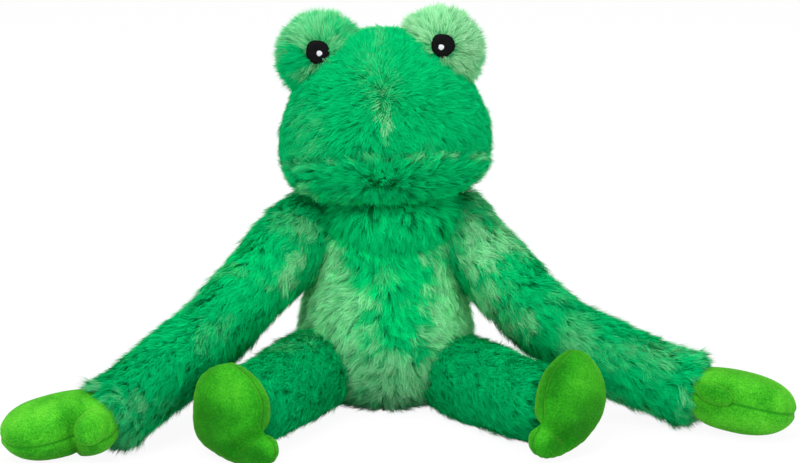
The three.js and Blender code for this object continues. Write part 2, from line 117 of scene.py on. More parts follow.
def unit(vectors: Array) -> Array:
    """Vectors of length one in the same directions."""
    return vectors / np.maximum(np.linalg.norm(vectors, axis=-1, keepdims=True), TINY)


def smooth_step(low: float, high: float, values: Array) -> Array:
    """0 at low, 1 at high, and a smooth rise between; low may be the greater of the two."""
    share = np.clip((values - low) / (high - low), 0, 1)
    return share * share * (3 - 2 * share)


def bell(values: Array, wide: float) -> Array:
    """1 at 0, falling off as a bell curve of that width."""
    return np.exp(-(values / wide) ** 2)


def turn_about_y(degrees: float) -> Array:
    """The matrix that turns by an angle about Y."""
    cosine, sine = math.cos(math.radians(degrees)), math.sin(math.radians(degrees))
    return np.array([[cosine, 0, sine], [0, 1, 0], [-sine, 0, cosine]])


def on_curve(knots: Array, place: Array, closed: bool = False) -> Array:
    """Points of a Catmull-Rom curve through knots.

    Args:
        knots: One row of numbers per knot.
        place: Where to read: 0 is the first knot, and 1 the last, or the first if closed.
        closed: Whether the curve runs on from the last knot to the first.

    Returns:
        One row per place.
    """
    spans = len(knots) - (0 if closed else 1)
    low = np.clip(np.floor(place * spans).astype(int), 0, spans - 1)
    part = (place * spans - low)[..., None]
    mode = "wrap" if closed else "clip"
    a, b, c, d = (np.take(knots, low + step, axis=0, mode=mode) for step in (-1, 0, 1, 2))
    pull, push = (c - a) / 2, (d - b) / 2
    bend = 3 * (c - b) - 2 * pull - push
    turn = 2 * (b - c) + pull + push
    return b + part * (pull + part * (bend + part * turn))


def run_of(line: Array) -> Array:
    """The length of a line of points up to each of them."""
    return np.concatenate([[0.0], np.cumsum(np.linalg.norm(np.diff(line, axis=0), axis=1))])


def rounded(corners: Array) -> Array:
    """A closed outline laid out evenly and smoothed by averaging each corner's neighbours."""
    count, turns, fine = 60, 3, 720
    dense = on_curve(corners, np.arange(fine + 1) % fine / fine, closed=True)
    run = run_of(dense)
    marks = np.arange(count) / count * run[-1]
    even = np.stack([np.interp(marks, run, column) for column in dense.T], axis=1)
    for _ in range(turns):
        even = (np.roll(even, 1, axis=0) + 2 * even + np.roll(even, -1, axis=0)) / 4
    return even


def ripple(points: Array, scale: float, seed: int, waves: int = 7) -> Array:
    """A smooth random field from about -1 to 1: a sum of sine waves in seeded directions.

    Args:
        points: Places, one row each.
        scale: The waves' length.
        seed: Which field.
        waves: How many sines are summed.

    Returns:
        One value per point.
    """
    chance = np.random.default_rng(seed)
    directions = unit(chance.normal(size=(waves, 3)))
    lengths = scale * chance.uniform(0.7, 1.5, waves)
    phases = chance.uniform(0, TURN, waves)
    turns = points @ (directions / lengths[:, None]).T * TURN + phases
    return np.sin(turns).sum(axis=1) / math.sqrt(waves)


def away_from(line: Array, points: Array) -> Array:
    """The ways from a line's nearest point to points; its two ends may be the same."""
    run = line[1] - line[0]
    place = np.clip((points - line[0]) @ run / max(run @ run, TINY), 0, 1)
    return points - line[0] - place[:, None] * run


def spread_from(line: Array, points: Array, reach: float) -> Array:
    """Directions away from a parting, shorter within its reach, where the pile stands up."""
    away = away_from(line, points)
    return away / np.maximum(np.linalg.norm(away, axis=1, keepdims=True), reach)


def evenly(points: Array) -> Array:
    """1 at every point."""
    return np.ones(len(points))


@dataclass(frozen=True)
class FrontView:
    """The camera, and where a point of the frog falls in its frame."""

    elevation: float = 14.5
    distance: float = 2300.0
    mm_per_pixel: float = 0.76
    width: int = 800
    height: int = 463
    seat_pixel: Pair = (387.0, 398.0)
    sensor: float = 36.0
    clip_end: float = 20.0

    @property
    def axes(self) -> tuple[Array, Array, Array]:
        """The camera's right, up and forward directions."""
        tilt = math.radians(self.elevation)
        upward = np.array([0.0, math.sin(tilt), math.cos(tilt)])
        forward = np.array([0.0, math.cos(tilt), -math.sin(tilt)])
        return np.array([1.0, 0.0, 0.0]), upward, forward

    @property
    def eye(self) -> Array:
        """Where the camera stands so that the seat's middle falls on its pixel."""
        right, upward, forward = self.axes
        across = (self.seat_pixel[0] - self.width / 2) * self.mm_per_pixel
        down = (self.seat_pixel[1] - self.height / 2) * self.mm_per_pixel
        return SEAT - right * across + upward * down - forward * self.distance

    def pixels(self, points: Array) -> Array:
        """The pixels at which points are seen, one row of x and y each."""
        right, upward, forward = self.axes
        away = points - self.eye
        scale = self.distance / self.mm_per_pixel / (away @ forward)
        across = self.width / 2 + (away @ right) * scale
        return np.stack([across, self.height / 2 - (away @ upward) * scale], axis=1)

    def build(self) -> None:
        """Makes the scene's camera."""
        lens = bpy.data.cameras.new("front_camera")
        lens.sensor_width = self.sensor
        lens.lens = self.sensor * self.distance / self.mm_per_pixel / self.width
        lens.clip_end = self.clip_end
        camera = bpy.data.objects.new("front_camera", lens)
        camera.location = self.eye * METRES
        camera.rotation_euler = (math.radians(90 - self.elevation), 0, 0)
        bpy.context.scene.collection.objects.link(camera)
        bpy.context.scene.camera = camera


VIEW = FrontView()


# Forms, the closed surfaces that cloth and pile are laid on.


class Form:
    """A closed surface read at u, round it, and v, from one pole to the other."""

    def at(self, u: Array, v: Array) -> Array:
        """Points of the surface."""
        raise NotImplementedError

    def depth(self, points: Array) -> Array:
        """How far points lie inside, about; a form that hides no pile says outside."""
        return np.full(len(points), OUTSIDE)

    def normals(self, u: Array, v: Array, step: float = 0.004) -> Array:
        """Outward unit normals, from differences a small step away on either side."""
        v = np.clip(v, 2 * step, 1 - 2 * step)
        round_it = self.at(u + step, v) - self.at(u - step, v)
        along = self.at(u, v + step) - self.at(u, v - step)
        return unit(np.cross(round_it, along))

    def seen_at(self, pixel: Pair) -> Array:
        """The point of the near side that is seen at a pixel: near it, and near the eye."""
        nearness_weight = 0.05
        u, v = np.meshgrid(np.linspace(0, 1, 320), np.linspace(0.01, 0.99, 160))
        points = self.at(u.ravel(), v.ravel())
        gap = np.linalg.norm(VIEW.pixels(points) - pixel, axis=1)
        return points[(gap + nearness_weight * points @ VIEW.axes[2]).argmin()]


@dataclass
class LevelForm(Form):
    """A body of rounded level sections, as the frame's torso and head are.

    A section is a superellipse. Its height, half width, front edge and back edge come from a
    smooth curve through the rows of shares.
    """

    height: float
    width: float
    thick: float
    squareness: float
    shares: Array
    origin: Array
    lift: float = 0.0
    roll: float = 0.0

    def __post_init__(self) -> None:
        """Works out the roll's matrix."""
        self.matrix = turn_about_y(-self.roll)

    def section(self, v: Array) -> tuple[Array, Array, Array, Array]:
        """Height, half width, half depth and middle along Y at places v."""
        level, wide, front, back = on_curve(self.shares, v).T
        reach = self.thick / 2
        half_width = np.maximum(wide, 0) * self.width / 2
        half_depth = np.maximum(back - front, 0) / 2 * reach
        return level * self.height + self.lift, half_width, half_depth, (back + front) / 2 * reach

    def at(self, u: Array, v: Array) -> Array:
        """Points: x and y go round as signed powers of cosine and sine."""
        height, half_width, half_depth, middle = self.section(v)
        power = 2 / self.squareness
        across, ahead = np.cos(TURN * u), np.sin(TURN * u)
        x = half_width * np.sign(across) * np.abs(across) ** power
        y = middle + half_depth * np.sign(ahead) * np.abs(ahead) ** power
        return np.stack([x, y, height], axis=-1) @ self.matrix.T + self.origin

    def depth(self, points: Array) -> Array:
        """Depth inside the section at each point's height, as if it were round."""
        x, y, z = ((points - self.origin) @ self.matrix).T
        height, *rows = self.section(np.linspace(0, 1, 400))
        wide, deep, centre = (np.interp(z, height, row) for row in rows)
        scaled = np.abs(x / np.maximum(wide, TINY)) ** self.squareness
        scaled += np.abs((y - centre) / np.maximum(deep, TINY)) ** self.squareness
        inside = (1 - scaled ** (1 / self.squareness)) * np.minimum(wide, deep)
        return np.where((z < height.min()) | (z > height.max()), OUTSIDE, inside)


@dataclass
class Sleeve(Form):
    """A round sleeve along a smooth path: rows give the share along it and the radius there."""

    knots: Array
    rows: Array
    fine: int = 600
    coarse: int = 6
    step: float = 0.03

    def __post_init__(self) -> None:
        """Lays out the path once, with the length run up to each of its points."""
        self.line = on_curve(self.knots, np.linspace(0, 1, self.fine))
        self.run = run_of(self.line)
        self.length = float(self.run[-1])

    def centre(self, t: Array) -> Array:
        """Points of the path at shares of its length; beyond the ends it goes straight on."""
        far = np.asarray(t) * self.length
        inner = np.clip(far, 0, self.length)
        base = np.stack([np.interp(inner, self.run, axis) for axis in self.line.T], axis=-1)
        start = unit(self.line[0] - self.line[self.coarse])
        finish = unit(self.line[-1] - self.line[-1 - self.coarse])
        base += np.maximum(-far, 0)[..., None] * start
        return base + np.maximum(far - self.length, 0)[..., None] * finish

    def along(self, t: Array) -> Array:
        """The path's direction at shares of its length."""
        return unit(self.centre(t + self.step) - self.centre(t - self.step))

    def at(self, u: Array, v: Array) -> Array:
        """Points: the path's point plus the radius, turned round the path."""
        t, radius = on_curve(self.rows, v).T
        ahead = self.along(t)
        aside = unit(np.cross(ahead, UP))
        over = np.cross(aside, ahead)
        angle = TURN * u
        out = aside * np.cos(angle)[:, None] - over * np.sin(angle)[:, None]
        return self.centre(t) + out * np.maximum(radius, 0)[:, None]

    def nearest(self, points: Array) -> tuple[Array, Array]:
        """The share along the path nearest each point, and how far off it is."""
        line = self.line[::self.coarse]
        gaps = np.linalg.norm(points[:, None, :] - line[None], axis=2)
        return self.run[::self.coarse][gaps.argmin(axis=1)] / self.length, gaps.min(axis=1)

    def depth(self, points: Array) -> Array:
        """The radius there less the distance from the path."""
        share, gap = self.nearest(points)
        place, radius = on_curve(self.rows, np.linspace(0, 1, 300)).T
        return np.interp(share, place, radius) - gap


@dataclass
class Ball(Form):
    """An ellipsoid with its poles along the last of its axes."""

    origin: Array
    radii: Array
    axes: Array = field(default_factory=lambda: np.eye(3))

    def at(self, u: Array, v: Array) -> Array:
        """Points: the unit sphere's, stretched and turned."""
        angle, tilt = TURN * u, math.pi * (v - 0.5)
        level = np.cos(tilt)
        ball = np.stack([level * np.cos(angle), level * np.sin(angle), np.sin(tilt)], axis=-1)
        return (ball * self.radii) @ self.axes + self.origin

    def depth(self, points: Array) -> Array:
        """How far inside, by the share of the radius."""
        local = (points - self.origin) @ self.axes.T / self.radii
        return (1 - np.linalg.norm(local, axis=1)) * self.radii.min()


@dataclass
class Inset(Form):
    """A form moved in along its own normals."""

    form: Form
    by: float

    def at(self, u: Array, v: Array) -> Array:
        """Points of the form less the inset along the normals."""
        return self.form.at(u, v) - self.by * self.form.normals(u, v)

    def depth(self, points: Array) -> Array:
        """The form's depth less the inset."""
        return self.form.depth(points) - self.by


# Meshes, and how they hang on the frame.


@dataclass
class Grid:
    """A mesh's corners and faces, and each corner's place from pole to pole."""

    points: Array
    quads: Array
    triangles: Array
    v: Array = field(default_factory=lambda: np.zeros(0))

    def __add__(self, other: "Grid") -> "Grid":
        """Both as one."""
        start = len(self.points)
        pairs = (
            (self.points, other.points), (self.quads, other.quads + start),
            (self.triangles, other.triangles + start), (self.v, other.v),
        )
        return Grid(*(np.concatenate(pair) for pair in pairs))


def closed_grid(form: Form, around: int, rings: int) -> Grid:
    """Reads a form on a grid and closes both poles with a fan.

    Args:
        form: The surface.
        around: Points in each ring.
        rings: Rings between the poles.

    Returns:
        The grid, its faces pointing outwards.
    """
    u = np.concatenate([[0], np.tile(np.arange(around) / around, rings), [0]])
    v = np.concatenate([[0], np.repeat((np.arange(rings) + 1) / (rings + 1), around), [1]])
    side = np.arange(around)
    after = (side + 1) % around
    low = 1 + np.arange(rings - 1)[:, None] * around
    quads = [low + side, low + after, low + around + after, low + around + side]
    top = 1 + rings * around
    bottom_fan = np.stack([np.zeros(around, int), 1 + after, 1 + side], axis=1)
    top_fan = np.stack([np.full(around, top), top - around + side, top - around + after], axis=1)
    fans = np.concatenate([bottom_fan, top_fan])
    return Grid(form.at(u, v), np.stack(quads, axis=-1).reshape(-1, 4), fans, v)


def put(data: bpy.types.bpy_prop_collection, key: str, values: Array) -> None:
    """Puts an array into a mesh's data as single floats."""
    data.foreach_set(key, values.astype(np.float32).ravel())


def build_mesh(name: str, grid: Grid, material: Material) -> Piece:
    """Makes a smooth-shaded object from a grid in millimetres."""
    mesh = bpy.data.meshes.new(name)
    corners = np.concatenate([grid.quads.ravel(), grid.triangles.ravel()]).astype(np.int32)
    sizes = np.repeat([4, 3], [len(grid.quads), len(grid.triangles)])
    starts = np.concatenate([[0], np.cumsum(sizes)[:-1]]).astype(np.int32)
    mesh.vertices.add(len(grid.points))
    put(mesh.vertices, "co", grid.points * METRES)
    mesh.loops.add(len(corners))
    mesh.loops.foreach_set("vertex_index", corners)
    mesh.polygons.add(len(sizes))
    mesh.polygons.foreach_set("loop_start", starts)
    mesh.update(calc_edges=True)
    mesh.validate()
    mesh.shade_smooth()
    mesh.materials.append(material)
    thing = bpy.data.objects.new(name, mesh)
    bpy.context.scene.collection.objects.link(thing)
    return thing


@dataclass(frozen=True)
class Carried:
    """How a piece follows the frame: on one body, or, if it has a bend, fixed where it is built."""

    bodies: tuple[str, ...]
    bend: Optional[tuple[Array, Array]] = None

    def take(
        self, piece: Piece, slot: Slot, nodes: tuple[str, ...] = (), fill: Optional[float] = None
    ) -> Piece:
        """Hides the frame's nodes that a piece stands for, then hangs it on its body, or fixes its
        place if it has a bend.

        Args:
            piece: The piece.
            slot: The record's slot; not used.
            nodes: The frame's nodes that it stands for.
            fill: How tightly it is stuffed, if it is; not used.

        Returns:
            The piece.
        """
        if nodes:
            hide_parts(*nodes)
        if self.bend is None:
            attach(piece, *self.bodies)
        else:
            start, end = (tuple(point * METRES) for point in self.bend)
            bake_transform(piece)
        return piece


# Finishes.


def linear(hex_colour: str) -> tuple[float, float, float, float]:
    """An sRGB hex colour as the linear values that a shader takes."""
    values = [int(hex_colour[i:i + 2], 16) / 255 for i in (1, 3, 5)]
    curve = [v / 12.92 if v <= 0.04045 else ((v + 0.055) / 1.055) ** 2.4 for v in values]
    return (*curve, 1.0)


def add_node(
    tree: Tree, kind: str, links: dict, stops: Stops = (), **settings: object
) -> bpy.types.bpy_prop_collection:
    """Adds a node.

    Args:
        tree: The nodes that it joins.
        kind: The node's type, without the word that all types start with.
        links: For each input, by name or number, a value, a hex colour or another's output.
        stops: The places and hex colours of a colour ramp.
        **settings: Values of the node's own properties.

    Returns:
        The node's outputs.
    """
    made = tree.nodes.new("ShaderNode" + kind)
    for key, value in settings.items():
        setattr(made, key, value)
    for key, value in links.items():
        if isinstance(value, Socket):
            tree.links.new(value, made.inputs[key])
        else:
            made.inputs[key].default_value = linear(value) if isinstance(value, str) else value
    while stops and len(made.color_ramp.elements) < len(stops):
        made.color_ramp.elements.new(0.5)
    for number, (place, colour) in enumerate(stops):
        element = made.color_ramp.elements[number]
        element.position, element.color = place, linear(colour)
    return made.outputs


@dataclass(frozen=True)
class Finish:
    """A material: what it is made of is worked out by its surface."""

    name: str

    def surface(self, tree: Tree) -> Socket:
        """Adds the nodes and gives the shader that they end in."""
        raise NotImplementedError

    def build(self) -> Material:
        """Makes the material."""
        material = bpy.data.materials.new(self.name)
        material.use_nodes = True
        tree = material.node_tree
        tree.nodes.clear()
        add_node(tree, "OutputMaterial", {0: self.surface(tree)})
        return material


@dataclass(frozen=True)
class PileFinish(Finish):
    """Long polyester pile, cut and groomed with a brush, with painted shade: dark between the tufts
    and lighter at the tips.

    The pile attribute holds, per corner, the place from root to tip, the strand's own
    lightness with its painted light and shade, and the share of paler pile.
    """

    # Both ramps darken from tip to root: painted shade between the tufts.
    deep_stops: Stops = ((0.0, "#00A054"), (0.35, "#00BC6A"), (0.75, "#00CF7A"), (1.0, "#08DC8A"))
    pale_stops: Stops = ((0.0, "#34B064"), (0.35, "#62D088"), (0.75, "#94EAAA"), (1.0, "#C4FAD0"))
    roughness: float = 0.7
    gloss: float = 0.02
    through: float = 0.22

    def surface(self, tree: Tree) -> Socket:
        """A matt shader through which some light passes, as it does through loose fibre."""
        pile = add_node(tree, "Attribute", {}, attribute_name="pile")["Color"]
        place, lightness, paler = add_node(tree, "SeparateColor", {0: pile})
        deep = add_node(tree, "ValToRGB", {"Fac": place}, self.deep_stops)[0]
        pale = add_node(tree, "ValToRGB", {"Fac": place}, self.pale_stops)[0]
        tone = add_node(tree, "Mix", {0: paler, 6: deep, 7: pale}, data_type="RGBA")[2]
        lit = add_node(tree, "HueSaturation", {"Value": lightness, "Color": tone})[0]
        matt = add_node(tree, "BsdfPrincipled", {
            "Base Color": lit, "Roughness": self.roughness, "Specular IOR Level": self.gloss,
        })[0]
        glow = add_node(tree, "BsdfTranslucent", {"Color": lit})[0]
        return add_node(tree, "MixShader", {0: self.through, 1: matt, 2: glow})[0]


@dataclass(frozen=True)
class ThreadFinish(Finish):
    """Knitted or stitched thread: two tones that mingle at the size of a stitch.

    Knitted backing is dull; the green one is dark, as painted shade between the roots. Satin
    stitch is slightly glossy along its ridges.
    """

    colour: str
    second: str
    stitch: float = 1.2
    roughness: float = 0.9
    gloss: float = 0.1

    def surface(self, tree: Tree) -> Socket:
        """A plain shader of both tones."""
        place = add_node(tree, "TexCoord", {})["Object"]
        scale = 1 / (self.stitch * METRES)
        knit = add_node(tree, "TexNoise", {"Vector": place, "Scale": scale, "Detail": 2.0})[0]
        tones = {0: knit, 6: self.colour, 7: self.second}
        return add_node(tree, "BsdfPrincipled", {
            "Base Color": add_node(tree, "Mix", tones, data_type="RGBA")[2],
            "Roughness": self.roughness,
            "Specular IOR Level": self.gloss,
        })[0]


@dataclass(frozen=True)
class NapFinish(Finish):
    """Velour cloth with a 1.5 mm nap: soft brush marks, a fine speckle and a bright edge sheen.

    The nap attribute on the mesh says how far the nap is raised and carries painted light and
    shade, 0 dark to 1 bright, and the seam attribute where the seam's groove lies, which takes
    the shaded colour as painted shade. The grain is drawn coarser than the cloth's, so that it
    shows.
    """

    base: str = "#3CA81C"
    shaded: str = "#157A0C"
    bright: str = "#66C832"
    sheen: str = "#96E848"
    grain: float = 1.3
    brush: float = 20.0
    brush_share: float = 0.28
    speckle: float = 0.3

    def surface(self, tree: Tree) -> Socket:
        """A ramp read at the nap's lie with painted light and shade, plus brush marks and speckle;
        painted shade in the groove.
        """
        place = add_node(tree, "TexCoord", {})["Object"]
        brush = add_node(tree, "TexNoise", {
            "Vector": place, "Scale": 1 / (self.brush * METRES), "Detail": 3.0, "Distortion": 0.6,
        })[0]
        grain = add_node(tree, "TexNoise", {
            "Vector": place, "Scale": 1 / (self.grain * METRES), "Detail": 3.0, "Roughness": 0.75,
        })[0]
        wide = add_node(tree, "MapRange", {0: brush, 1: 0.36, 2: 0.64})[0]
        fine = add_node(
            tree, "MapRange", {0: grain, 1: 0.32, 2: 0.68, 3: -self.speckle, 4: self.speckle}
        )[0]
        # painted light and shade: the nap attribute holds the hands' and feet's bright and dark
        # ovals
        nap = add_node(tree, "Attribute", {}, attribute_name="brushed")["Fac"]
        marks = {0: wide, 1: self.brush_share, 2: nap}
        laid = add_node(tree, "Math", marks, operation="MULTIPLY_ADD")[0]
        level = add_node(tree, "Math", {0: laid, 1: fine})[0]
        stops = ((0.0, self.shaded), (0.5, self.base), (1.0, self.bright))
        cloth = add_node(tree, "ValToRGB", {"Fac": level}, stops)[0]
        # painted shade: the seam's groove takes the shaded colour
        groove = add_node(tree, "Attribute", {}, attribute_name="seam")["Fac"]
        tones = {0: groove, 6: cloth, 7: self.shaded}
        bump = add_node(tree, "Bump", {"Height": grain, "Strength": 0.7, "Distance": 0.0008})[0]
        return add_node(tree, "BsdfPrincipled", {
            "Base Color": add_node(tree, "Mix", tones, data_type="RGBA")[2],
            "Roughness": 0.85,
            "Specular IOR Level": 0.12,
            "Sheen Weight": 0.45,
            "Sheen Roughness": 0.4,
            "Sheen Tint": self.sheen,
            "Normal": bump,
        })[0]


@dataclass(frozen=True)
class FloorFinish(Finish):
    """Matt white board that glows to the camera, so that only the frog's shadow shows on it."""

    colour: str = "#F2F2F2"
    glow: float = 0.93

    def surface(self, tree: Tree) -> Socket:
        """A diffuse shader, and for the camera's rays nearly all light of its own."""
        matt = add_node(tree, "BsdfDiffuse", {"Color": self.colour, "Roughness": 0.8})[0]
        rays = add_node(tree, "LightPath", {})["Is Camera Ray"]
        light = add_node(tree, "Emission", {0: WHITE, 1: 1.0})[0]
        share = add_node(tree, "Math", {0: rays, 1: self.glow}, operation="MULTIPLY")[0]
        return add_node(tree, "MixShader", {0: share, 1: matt, 2: light})[0]


@dataclass
class Workshop:
    """The finishes of the frog's cloths, made once."""

    # This ramp too darkens from tip to root: painted shade between the tufts.
    pale_stops: Stops = ((0.0, "#4FBE76"), (0.35, "#84DC98"), (0.75, "#AEF0B4"), (1.0, "#D4FBD4"))

    def __post_init__(self) -> None:
        """Makes every finish."""
        pile = PileFinish("long_pile_green").build()
        pale_pile = PileFinish("long_pile_pale_green", pale_stops=self.pale_stops).build()
        # painted shade: this backing is darker than the pile's roots, for the shade between the
        # strands
        backing = ThreadFinish("knitted_backing", "#008E4A", "#00703A").build()
        pale_backing = ThreadFinish("knitted_backing_pale", "#5FC284", "#3FA368").build()
        self.fur = {Slot.FUR_GREEN: (backing, pile), Slot.FUR_PALE: (pale_backing, pale_pile)}
        self.nap = NapFinish("velour_lime").build()
        # The feet's copy of the velour is darker all over: painted shade on the soles, which face
        # away from the top light.
        self.painted_shade_sole_nap = NapFinish("velour_lime_deep", "#259212", "#0C6A06", "#46B022").build()
        satin = {"stitch": 1 / 1.8, "roughness": 0.55, "gloss": 0.06}
        self.black_stitch = ThreadFinish(
            "satin_stitch_black", "#020203", "#0A0A0C", **satin
        ).build()
        self.white_stitch = ThreadFinish(
            "satin_stitch_white", "#AEB2B6", "#D8DADC", **satin
        ).build()


# Fur.


@dataclass(frozen=True)
class Coat:
    """How a pile grows: tufts of strands that lean over and meet towards their tips.

    Rise and what is added to it are degrees. Pairs are a lowest and a highest share, but for
    rise and taper, which follow a strand from its root.
    """

    spacing: float = 3.2
    strands: int = 23
    length: float = 13.0
    width: float = 0.48
    spread: float = 3.3
    gather: float = 0.3
    rise: Pair = (42.0, 12.0)
    stray: float = 0.2
    wander: float = 0.3
    wander_scale: float = 38.0
    curl: float = 0.26
    vary: float = 0.16
    pile_depth: float = 6.0
    uncombed_rise: float = 36.0
    tuft_rise: float = 5.0
    strand_rise: float = 6.0
    tuft_lengths: Pair = (0.82, 1.16)
    strand_lengths: Pair = (0.7, 1.12)
    strand_widths: Pair = (0.75, 1.2)
    taper: Pair = (1.0, 0.8)
    aim: float = 0.13
    bow: float = 0.1
    twist: float = 0.6
    sunk: float = 0.4
    ragged: float = 0.12
    fan: float = 0.26
    nod: float = 0.12


@dataclass
class Strands:
    """The strands of one fur, as arrays with a row for each strand."""

    points: Array
    normals: Array
    tones: Array

    def __add__(self, other: "Strands") -> "Strands":
        """Both furs as one."""
        pairs = zip(vars(self).values(), vars(other).values())
        return Strands(*(np.concatenate(pair) for pair in pairs))


def tuft_roots(
    form: Form, spacing: float, chance: np.random.Generator, around: int = 120, rows: int = 110
) -> tuple[Array, Array]:
    """Places spread evenly by area over a form.

    Cells of a fine grid are laid end to end by area, and one place is drawn from each equal
    stretch.

    Args:
        form: The surface.
        spacing: The mean distance between tufts.
        chance: The seeded source of chance.
        around: Cells round the form.
        rows: Cells from pole to pole.

    Returns:
        The places' u and v.
    """
    v_edge = np.linspace(0.002, 0.998, rows + 1)
    v_grid, u_grid = np.meshgrid(v_edge, np.linspace(0, 1, around + 1), indexing="ij")
    corners = form.at(u_grid.ravel(), v_grid.ravel()).reshape(rows + 1, around + 1, 3)
    side_a = corners[:-1, 1:] - corners[:-1, :-1]
    side_b = corners[1:, :-1] - corners[:-1, :-1]
    area = np.linalg.norm(np.cross(side_a, side_b), axis=2).ravel()
    total = np.cumsum(area)
    count = int(total[-1] / spacing ** 2)
    marks = (np.arange(count) + chance.random(count)) / count * total[-1]
    row, column = np.divmod(np.minimum(np.searchsorted(total, marks), len(area) - 1), around)
    u = (column + chance.random(count)) / around
    return u, v_edge[0] + (row + chance.random(count)) / rows * (v_edge[-1] - v_edge[0])


def fur_pieces(
    name: str, strands: Strands, material: Material, carried: Carried,
    slot: Slot = Slot.FUR_GREEN,
) -> list[Piece]:
    """Makes meshes of strands, each within the limit on a piece's faces.

    Every strand is a quad and a triangle, with the pile attribute and a small cell of its own
    in the bake layout. What would go through the floor is lifted to just above it.

    Args:
        name: The pieces' name, numbered if there is more than one.
        strands: The strands.
        material: Their finish.
        carried: How they follow the frame.
        slot: The record's slot.

    Returns:
        The pieces.
    """
    height = strands.points[..., 2]
    np.maximum(height, FLOOR_GAP, out=height)
    count = len(height)
    pieces = math.ceil(count / STRANDS_PER_PIECE)
    order = np.arange(count) if pieces == 1 else np.random.default_rng(1).permutation(count)
    along = [0, 0, 0.5, 0.5, 1]
    corner_cells = 0.12 + 0.76 * np.array([[0, 0], [1, 0], [0, 0.5], [1, 0.5], [0.5, 1]])
    made = []
    for number, members in enumerate(np.array_split(order, pieces)):
        total = len(members)
        first = np.arange(total)[:, None] * len(along)
        label = name if pieces == 1 else f"{name}_{number + 1}"
        grid = Grid(
            strands.points[members].reshape(-1, 3),
            (first + [0, 1, 3, 2]).reshape(-1, 4), (first + [2, 3, 4]).reshape(-1, 3),
        )
        piece = build_mesh(label, grid, material)
        mesh = piece.data
        tones = np.repeat(strands.tones[members], len(along), axis=0)
        pile = np.column_stack([np.tile(along, total), tones, np.ones(len(tones))])
        put(mesh.color_attributes.new("pile", "FLOAT_COLOR", "POINT").data, "color", pile)
        cells = math.ceil(math.sqrt(total))
        row, column = np.divmod(np.arange(total), cells)
        cell = (np.stack([column, row], axis=1)[:, None, :] + corner_cells) / cells
        corners = np.zeros(len(mesh.loops), np.int32)
        mesh.loops.foreach_get("vertex_index", corners)
        put(mesh.uv_layers.new(name="OFBake").data, "uv", cell.reshape(-1, 2)[corners])
        facing = np.repeat(strands.normals[members], len(along), axis=0)
        mesh.normals_split_custom_set_from_vertices(facing.astype(np.float32))
        made.append(carried.take(piece, slot))
    return made


@dataclass(frozen=True)
class Blob:
    """A soft oval area on the front view, in pixels, with how strongly it counts."""

    x: float
    y: float
    wide: float
    high: float
    turn: float
    strength: float

    def way_out(self, pixels: Array) -> Array:
        """How far out pixels lie: 0 in the middle and 1 on the oval."""
        angle = math.radians(self.turn)
        dx, dy = pixels[:, 0] - self.x, pixels[:, 1] - self.y
        along = (dx * math.cos(angle) + dy * math.sin(angle)) / self.wide
        across = (dy * math.cos(angle) - dx * math.sin(angle)) / self.high
        return np.sqrt(along ** 2 + across ** 2)

    def patch(self, pixels: Array, jitter: Array) -> Array:
        """The strength inside, falling off at the edge, which is broken up by the jitter."""
        loose = min(9.0, 0.5 * min(self.wide, self.high))
        return self.strength * (1 - smooth_step(0.75, 1.25, self.way_out(pixels + loose * jitter)))

    def glow(self, pixels: Array) -> Array:
        """The strength in the middle, fading evenly to nothing half as far again as the edge."""
        return self.strength * (1 - smooth_step(0.2, 1.5, self.way_out(pixels)))


def with_painted_light(ovals: Ovals = (), base: float = 1.0) -> Field:
    """A lightness field for the frog's front: a base and soft areas of painted light and shade
    added to it.
    """

    def light(points: Array) -> Array:
        """The lightness at points: the base plus every area's painted light and shade, on the
        front.
        """
        pixels = VIEW.pixels(points)
        front = smooth_step(35, 5, points[:, 1] - SEAT[1])
        value = np.full(len(points), base)
        for oval in ovals:
            value = value + front * Blob(*oval).glow(pixels)
        return value

    return light


def blotched(ovals: Ovals, seed: int, base: float = 0.0, patchy: float = 0.0) -> Field:
    """A tone field: ragged areas on the frog's front and random patches, over a base."""

    def tone(points: Array) -> Array:
        """The share of paler pile at points."""
        pixels = VIEW.pixels(points)
        jitter = np.stack([
            ripple(points, 17, seed + 5 + axis) + 0.7 * ripple(points, 6, seed + 15 + axis)
            for axis in (0, 1)
        ], axis=1)
        back = points[:, 1] - SEAT[1] + 12 * jitter[:, 0] + 9 * ripple(points, 30, seed + 25)
        front = smooth_step(34, 18, back)
        value = np.full(len(points), base)
        for oval in ovals:
            value = value + front * Blob(*oval).patch(pixels, jitter)
        value = value + patchy * np.maximum(ripple(points, 45, seed + 7) - 0.25, 0)
        return np.clip(value + 0.1 * ripple(points, 9, seed + 8) * (value > 0.05), 0, 1)

    return tone


def hidden_in(forms: list[Form], points: Array, deeper: float) -> Array:
    """True at points that lie deeper than that inside any of the forms."""
    hidden = np.zeros(len(points), bool)
    for form in forms:
        hidden |= form.depth(points) > deeper
    return hidden


